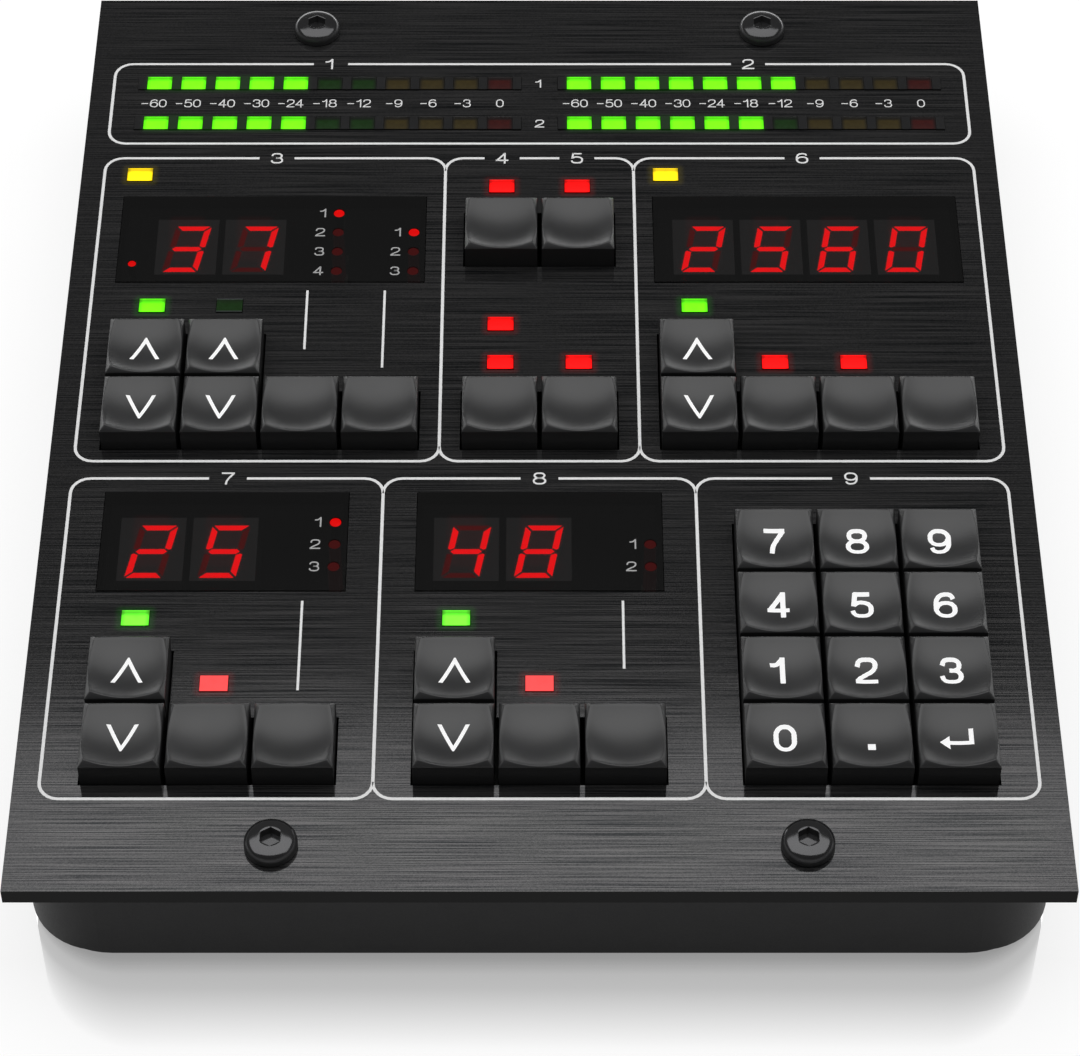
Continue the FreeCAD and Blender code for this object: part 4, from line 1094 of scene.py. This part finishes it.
SINGLE_LAMPS = [
    ("yellow_lamps_lit", YELLOW_LAMPS, yellow_lit, LIT, "yellow"),
    ("green_lamps_lit", GREEN_LAMPS, green_lit, LIT, "green"),
    ("pale_green_lamps_lit", PALE_GREEN_LAMPS, pale_green_lit, LIT, "green"),
    ("green_lamp_dull", DARK_LAMPS, green_dull, DULL, "green"),
    ("red_lamps_lit", RED_LAMPS, red_lit, LIT, "red"),
    ("pale_red_lamps_lit", PALE_RED_LAMPS, pale_red_lit, EVEN, "red"),
]
for name, spots, material, look, colour in SINGLE_LAMPS:
    lamp_piece(name, spots, LAMP_SIZE, material, look, colour, colour + "_light_pipes")
print("single lamps:", sum(len(row[1]) for row in SINGLE_LAMPS))

# %% Meter lenses in their bars
lenses = {"lit": [], "green": [], "amber": [], "red": []}
for (bar_x, bar_y), lit in LIT_LENSES.items():
    for number in range(LENS_COUNT):
        colour = "green" if number < AMBER_FROM else "amber" if number < RED_FROM else "red"
        lenses["lit" if number < lit else colour].append((lens_x(bar_x, number), bar_y))
METER_PIECES = [
    ("meter_green_lit", lenses["lit"], LENS_SIZE, meter_lit, LIT, "green"),
    ("meter_green_dull", lenses["green"], DULL_LENS_SIZE, green_dull, DULL_LENS, "green"),
    ("meter_amber_dull", lenses["amber"], DULL_LENS_SIZE, amber_dull, DULL_LENS, "amber"),
    ("meter_red_dull", lenses["red"], DULL_LENS_SIZE, red_dull, DULL_LENS, "red"),
]
for *row, colour in METER_PIECES:
    lamp_piece(*row, colour, "meter_lenses_" + colour)
print("lenses:", {kind: len(spots) for kind, spots in lenses.items()})

# %% [markdown]
# The round lamps are light pipes with a slightly domed end, turned like a pin: a circle is extruded
# ring by ring, with a smaller radius at each step of the dome.

# %% Round lamps
PIN_SIDES = 24
PIN_GLOW = 0.7
PIN_SIZE = 1.6
POINT_SIZE = 1.2
LIT_COLUMNS = 3


def ring_stack(rings, sides, shape_of=None):
    """A turned shape from (radius, height) rings, closed at both ends."""
    turned = bmesh.new()
    radius, height = rings[0]
    bmesh.ops.create_circle(turned, cap_ends=True, segments=sides, radius=radius)
    move(turned, 0.0, 0.0, height)
    edges = turned.edges[:]
    for radius, height in rings[1:]:
        made = bmesh.ops.extrude_edge_only(turned, edges=edges)["geom"]
        edges = [item for item in made if isinstance(item, bmesh.types.BMEdge)]
        for vertex in verts_in(made):
            angle = math.atan2(vertex.co.y, vertex.co.x)
            reach = shape_of(angle, radius) if shape_of else radius
            vertex.co = (reach * math.cos(angle), reach * math.sin(angle), height)
    bmesh.ops.holes_fill(turned, edges=border_edges(turned), sides=0)
    return turned


def pin(target, x, y, diameter, shown):
    """One round light pipe through the pane; shown is how much its end glows."""
    half = diameter / 2
    turned = ring_stack([(half - 0.2, LAMP_FOOT), (half, LAMP_FOOT + 0.2), (half, GLASS_TOP - 0.12),
                         (half * 0.93, GLASS_TOP - 0.05), (half * 0.75, GLASS_TOP - 0.01),
                         (half * 0.4, GLASS_TOP)], PIN_SIDES)
    level = turned.verts.layers.float.new("glow")
    for vertex in turned.verts:
        vertex[level] = shown if vertex.co.z > GLASS_TOP - 0.08 else 0.0
    move(turned, x, y)
    add_shape(target, turned)


pin_lit = lamp_material("pin_lit", RED_LIGHT, (0.02, 0.001, 0.001), 1.0)
pin_dull = grained("pin_dull", (0.016, 0.001, 0.001), (0.02, 0.001, 0.001), 0.5, 1500.0,
                   0.000002, specular=0.0)
# The unlit pins glow a dim dark red: painted light that gives them an even colour.
light_up(shader_of(pin_dull), (0.034, 0.006, 0.006))
pins_lit, pins_dull = bmesh.new(), bmesh.new()
for pins in (pins_lit, pins_dull):
    pins.verts.layers.float.new("glow")
pin(pins_lit, *POINT_LAMP, POINT_SIZE, PIN_GLOW)
for column, spots in enumerate(DOT_COLUMNS.values()):
    for number, spot in enumerate(spots):
        lit = number == 0 and column < LIT_COLUMNS
        pin(pins_lit if lit else pins_dull, *spot, PIN_SIZE, PIN_GLOW if lit else 1.0)
for name, pins, material in (("lit", pins_lit, pin_lit), ("dull", pins_dull, pin_dull)):
    finish_piece(pins, "round_lamps_" + name, material,
                 stands_for=("window_light_pipes",))
print("round lamps:", len(PANE_LAMPS))

# %% [markdown]
# Each figure has seven bars that lean ten degrees. The flat bars are trapeziums, the upright ones
# have mitred ends, and the middle one is a thin hexagon, with a hair of space between them. Lit
# bars are brighter than they look through the pane, and unlit ones have their plastic's dark red
# with a dim painted red glow on top.

# %% Seven-segment bars
UPRIGHT = 0.84
LEVEL_BAR = 0.8
MIDDLE_BAR = 0.4
SPACE = 0.24
LEAN = math.tan(math.radians(10.0))
BAR_FLATTER = 0.6
SEGMENTS = {"0": "abcdef", "1": "bc", "2": "abged", "3": "abgcd", "4": "fgbc", "5": "afgcd",
            "6": "afgedc", "7": "abc", "8": "abcdefg", "9": "abcdfg"}
wide, tall = 2.56, 4.6
TOP_BAR = [(SPACE - wide, tall), (wide - SPACE, tall), (wide - SPACE - LEVEL_BAR, tall - LEVEL_BAR),
           (SPACE + LEVEL_BAR - wide, tall - LEVEL_BAR)]
SIDE_BAR = [(wide, tall - SPACE), (wide, 0.52), (wide - 0.3, 0.38), (wide - UPRIGHT, 0.64),
            (wide - UPRIGHT, tall - SPACE - UPRIGHT)]
CROSS_BAR = [(0.46 - wide, 0.0), (0.88 - wide, MIDDLE_BAR), (wide - 0.88, MIDDLE_BAR),
             (wide - 0.46, 0.0), (wide - 0.88, -MIDDLE_BAR), (0.88 - wide, -MIDDLE_BAR)]


BARS = {"a": TOP_BAR, "d": flipped(TOP_BAR, 1, -1), "b": SIDE_BAR, "c": flipped(SIDE_BAR, 1, -1),
        "f": flipped(SIDE_BAR, -1, 1), "e": flipped(SIDE_BAR, -1, -1), "g": CROSS_BAR}


def segment(target, letter, x, y):
    """One bar of one figure, lying on the face of its module."""
    bar = polygon_shape([(px + py * LEAN, py) for px, py in BARS[letter]])
    bmesh.ops.scale(bar, vec=(1.0, 1.0, BAR_FLATTER), verts=bar.verts)
    move(bar, x, y, DIGIT_FACE)
    add_shape(target, bar)


# %% The shown numbers
BEHIND_PANE = (1.0 - PANE_OPACITY) ** 2
FIGURE_DROP = 0.46
SHOWN = list(zip(DIGIT_SPOTS, "2548372560"))
segment_lit, tree, shader = new_material("segment_lit", (0.1, 0.004, 0.005), 0.5)
flicker = spread(tree, even_noise(tree, 700.0), 0.94 / BEHIND_PANE, 1.02 / BEHIND_PANE)
light_up(shader, (0.74, 0.0, 0.002), flicker)
segment_dull = grained("segment_dull", (0.16, 0.012, 0.014), (0.2, 0.016, 0.018), 0.4, 1500.0,
                       0.000005)
# The unlit bars glow a dim red: painted light, as they are not lit.
light_up(shader_of(segment_dull), (0.46, 0.0, 0.0))
bars_lit, bars_dull = bmesh.new(), bmesh.new()
for (x, y), figure in SHOWN:
    for letter in "abcdefg":
        segment(bars_lit if letter in SEGMENTS[figure] else bars_dull, letter, x, y - FIGURE_DROP)
finish_piece(bars_lit, "segments_lit", segment_lit)
finish_piece(bars_dull, "segments_dull", segment_dull)
print("figures shown:", len(SHOWN))

# %% [markdown]
# The panel bolts have low button heads in black oxide: slightly domed, with a rounded rim, a duller
# side and a six sided socket. They are turned like the pins, from the shank's end up the head and
# down the socket, with 48 sides, so that the hole can turn a corner on every eighth point.

# %% Bolts
BOLT_SIDES = 48
SHANK = 2.0
HEAD = 3.42
RIM_ROUND = 1.0
RIM_MIDDLE = 22.12
HEX_HALF = 1.25
HEX_BELOW = 1.6
DOME_RADIUS = 9.4
SOCKET_FLOOR = 22.2
RIM_TURNS = [math.radians(value) for value in (0, 18, 36, 54, 72)]


def dome_level(radius):
    """Height of the domed top at a distance from the middle."""
    return BOLT_TOP - (radius ** 2 - HEX_HALF ** 2) / (2 * DOME_RADIUS)


def bolt_reach(angle, radius):
    """A ring is round, or six sided where it is as small as the hole."""
    turned = (angle + math.pi / 6) % (math.pi / 3) - math.pi / 6
    return radius if radius > HEX_BELOW else radius / math.cos(turned)


hole_edge = dome_level(1.45)
rings = [(SHANK - 0.3, BOLT_FOOT), (SHANK, BOLT_FOOT + 0.3), (SHANK, PLATE_TOP),
         (HEAD - 0.1, PLATE_TOP), (HEAD, PLATE_TOP + 0.1)]
rings += [(HEAD - RIM_ROUND + RIM_ROUND * math.cos(turn), RIM_MIDDLE + RIM_ROUND * math.sin(turn))
          for turn in RIM_TURNS]
rings += [(radius, dome_level(radius)) for radius in (2.5, 2.2, 1.9, 1.65)]
rings += [(HEX_HALF + 0.09, hole_edge), (HEX_HALF + 0.02, hole_edge - 0.04),
          (HEX_HALF, hole_edge - 0.12), (HEX_HALF, SOCKET_FLOOR + 0.06),
          (HEX_HALF - 0.04, SOCKET_FLOOR)]
black_oxide = grained("black_oxide", (0.062, 0.062, 0.064), (0.078, 0.078, 0.080), 0.14, 1800.0,
                      0.000003, 0.8)
upward = parts_of(black_oxide.node_tree, "Normal")["Z"]
fill(shader_of(black_oxide),
     {"Roughness": spread(black_oxide.node_tree, upward, 0.5, 0.14, 0.45, 0.85)})
bolts = bmesh.new()
for x, y in BOLT_SPOTS:
    bolt = ring_stack(rings, BOLT_SIDES, bolt_reach)
    move(bolt, x, y)
    add_shape(bolts, bolt)
finish_piece(bolts, "bolt_heads", black_oxide, stands_for=("panel_bolts",))
print("bolts:", len(BOLT_SPOTS))

# %% [markdown]
# The floor is a plain white sheet. The camera sees its own white through the light path nodes, so no
# extra light falls on the object, and the shadow still darkens it. Just in front of the base it is
# glossy and shows the base mirrored, which fades away within fifteen millimetres. The fade follows
# the base's outline round its corners and ends at the line of sight past them, beyond which the
# sheet would mirror the panel.

# %% Floor
FLOOR_HALF = 6.0
PAPER = 0.3
OWN_WHITE = 0.765
floor_shape = bmesh.new()
bmesh.ops.create_grid(floor_shape, x_segments=1, y_segments=1, size=FLOOR_HALF)
floor_mesh = bpy.data.meshes.new("floor")
floor_shape.to_mesh(floor_mesh)
floor_shape.free()
floor = bpy.data.objects.new("floor", floor_mesh)
scene.collection.objects.link(floor)
floor_white = bpy.data.materials.new("floor_white")
floor_white.use_nodes = True
floor_mesh.materials.append(floor_white)
tree = floor_white.node_tree
tree.nodes.remove(tree.nodes["Principled BSDF"])
paper = add_node(tree, "BsdfDiffuse", "BSDF", {"Color": PAPER})
looks = add_node(tree, "LightPath", "Is Camera Ray").node.outputs
seen_by = calculate(tree, "ADD", looks["Is Camera Ray"], looks["Is Glossy Ray"], clamp=True)
white_level = calculate(tree, "MULTIPLY", seen_by, OWN_WHITE)
own_white = add_node(tree, "Emission", "Emission", {"Strength": white_level})
sheet = add_node(tree, "AddShader", "Shader", {0: paper, 1: own_white})
print("floor sheet ready")

# %% The mirrored strip before the base
MIRROR_FAR = -0.0930
MIRROR_NEAR = -0.0775
MIRROR_CORNER = 0.010
MIRROR_SLANT = 0.2340
MIRROR_MARGIN = 0.0001
MIRROR_END = -0.071
MIRROR_STOPS = [(0.0, 0.0), (0.6, 0.40), (0.74, 0.42), (0.9, 0.6), (1.0, 0.64)]


def floor_math(operation, first, second=0.0):
    """One step of arithmetic in the floor's node tree."""
    return calculate(tree, operation, first, second)


floor_parts = parts_of(tree, "Object")
sideways = floor_math("ABSOLUTE", floor_parts["X"])
ahead = floor_math("ADD", floor_parts["Y"], -CAMERA_PLACE.y)
limit = floor_math("SUBTRACT", floor_math("MULTIPLY", ahead, MIRROR_SLANT), MIRROR_MARGIN)
inside_limit = floor_math("SUBTRACT", limit, sideways)
past_corner = floor_math("MAXIMUM", floor_math("SUBTRACT", MIRROR_CORNER, inside_limit))
square = floor_math("MULTIPLY", past_corner, past_corner)
under_root = floor_math("MAXIMUM", floor_math("SUBTRACT", MIRROR_CORNER ** 2, square))
lag = floor_math("SUBTRACT", MIRROR_CORNER, floor_math("SQRT", under_root))
depth = floor_math("SUBTRACT", floor_parts["Y"], lag)
fade_place = spread(tree, depth, 0.0, 1.0, MIRROR_FAR, MIRROR_NEAR)
before_base = floor_math("LESS_THAN", floor_parts["Y"], MIRROR_END)
beside_base = floor_math("GREATER_THAN", inside_limit)
mask = floor_math("MULTIPLY", grey_ramp(tree, fade_place, MIRROR_STOPS),
                  floor_math("MULTIPLY", before_base, beside_base))
mirror = add_node(tree, "BsdfGlossy", "BSDF", {"Roughness": 0.04})
floor_look = add_node(tree, "MixShader", "Shader", {"Fac": mask, 1: sheet, 2: mirror})
fill(tree.nodes["Material Output"], {"Surface": floor_look})
print("floor nodes:", len(tree.nodes))

# %% [markdown]
# Colours are shown without a film look, and the last line prints how many pieces were made.

# %% Colours and count
scene.view_settings.view_transform = "Standard"
print("new pieces:", len(PIECES))
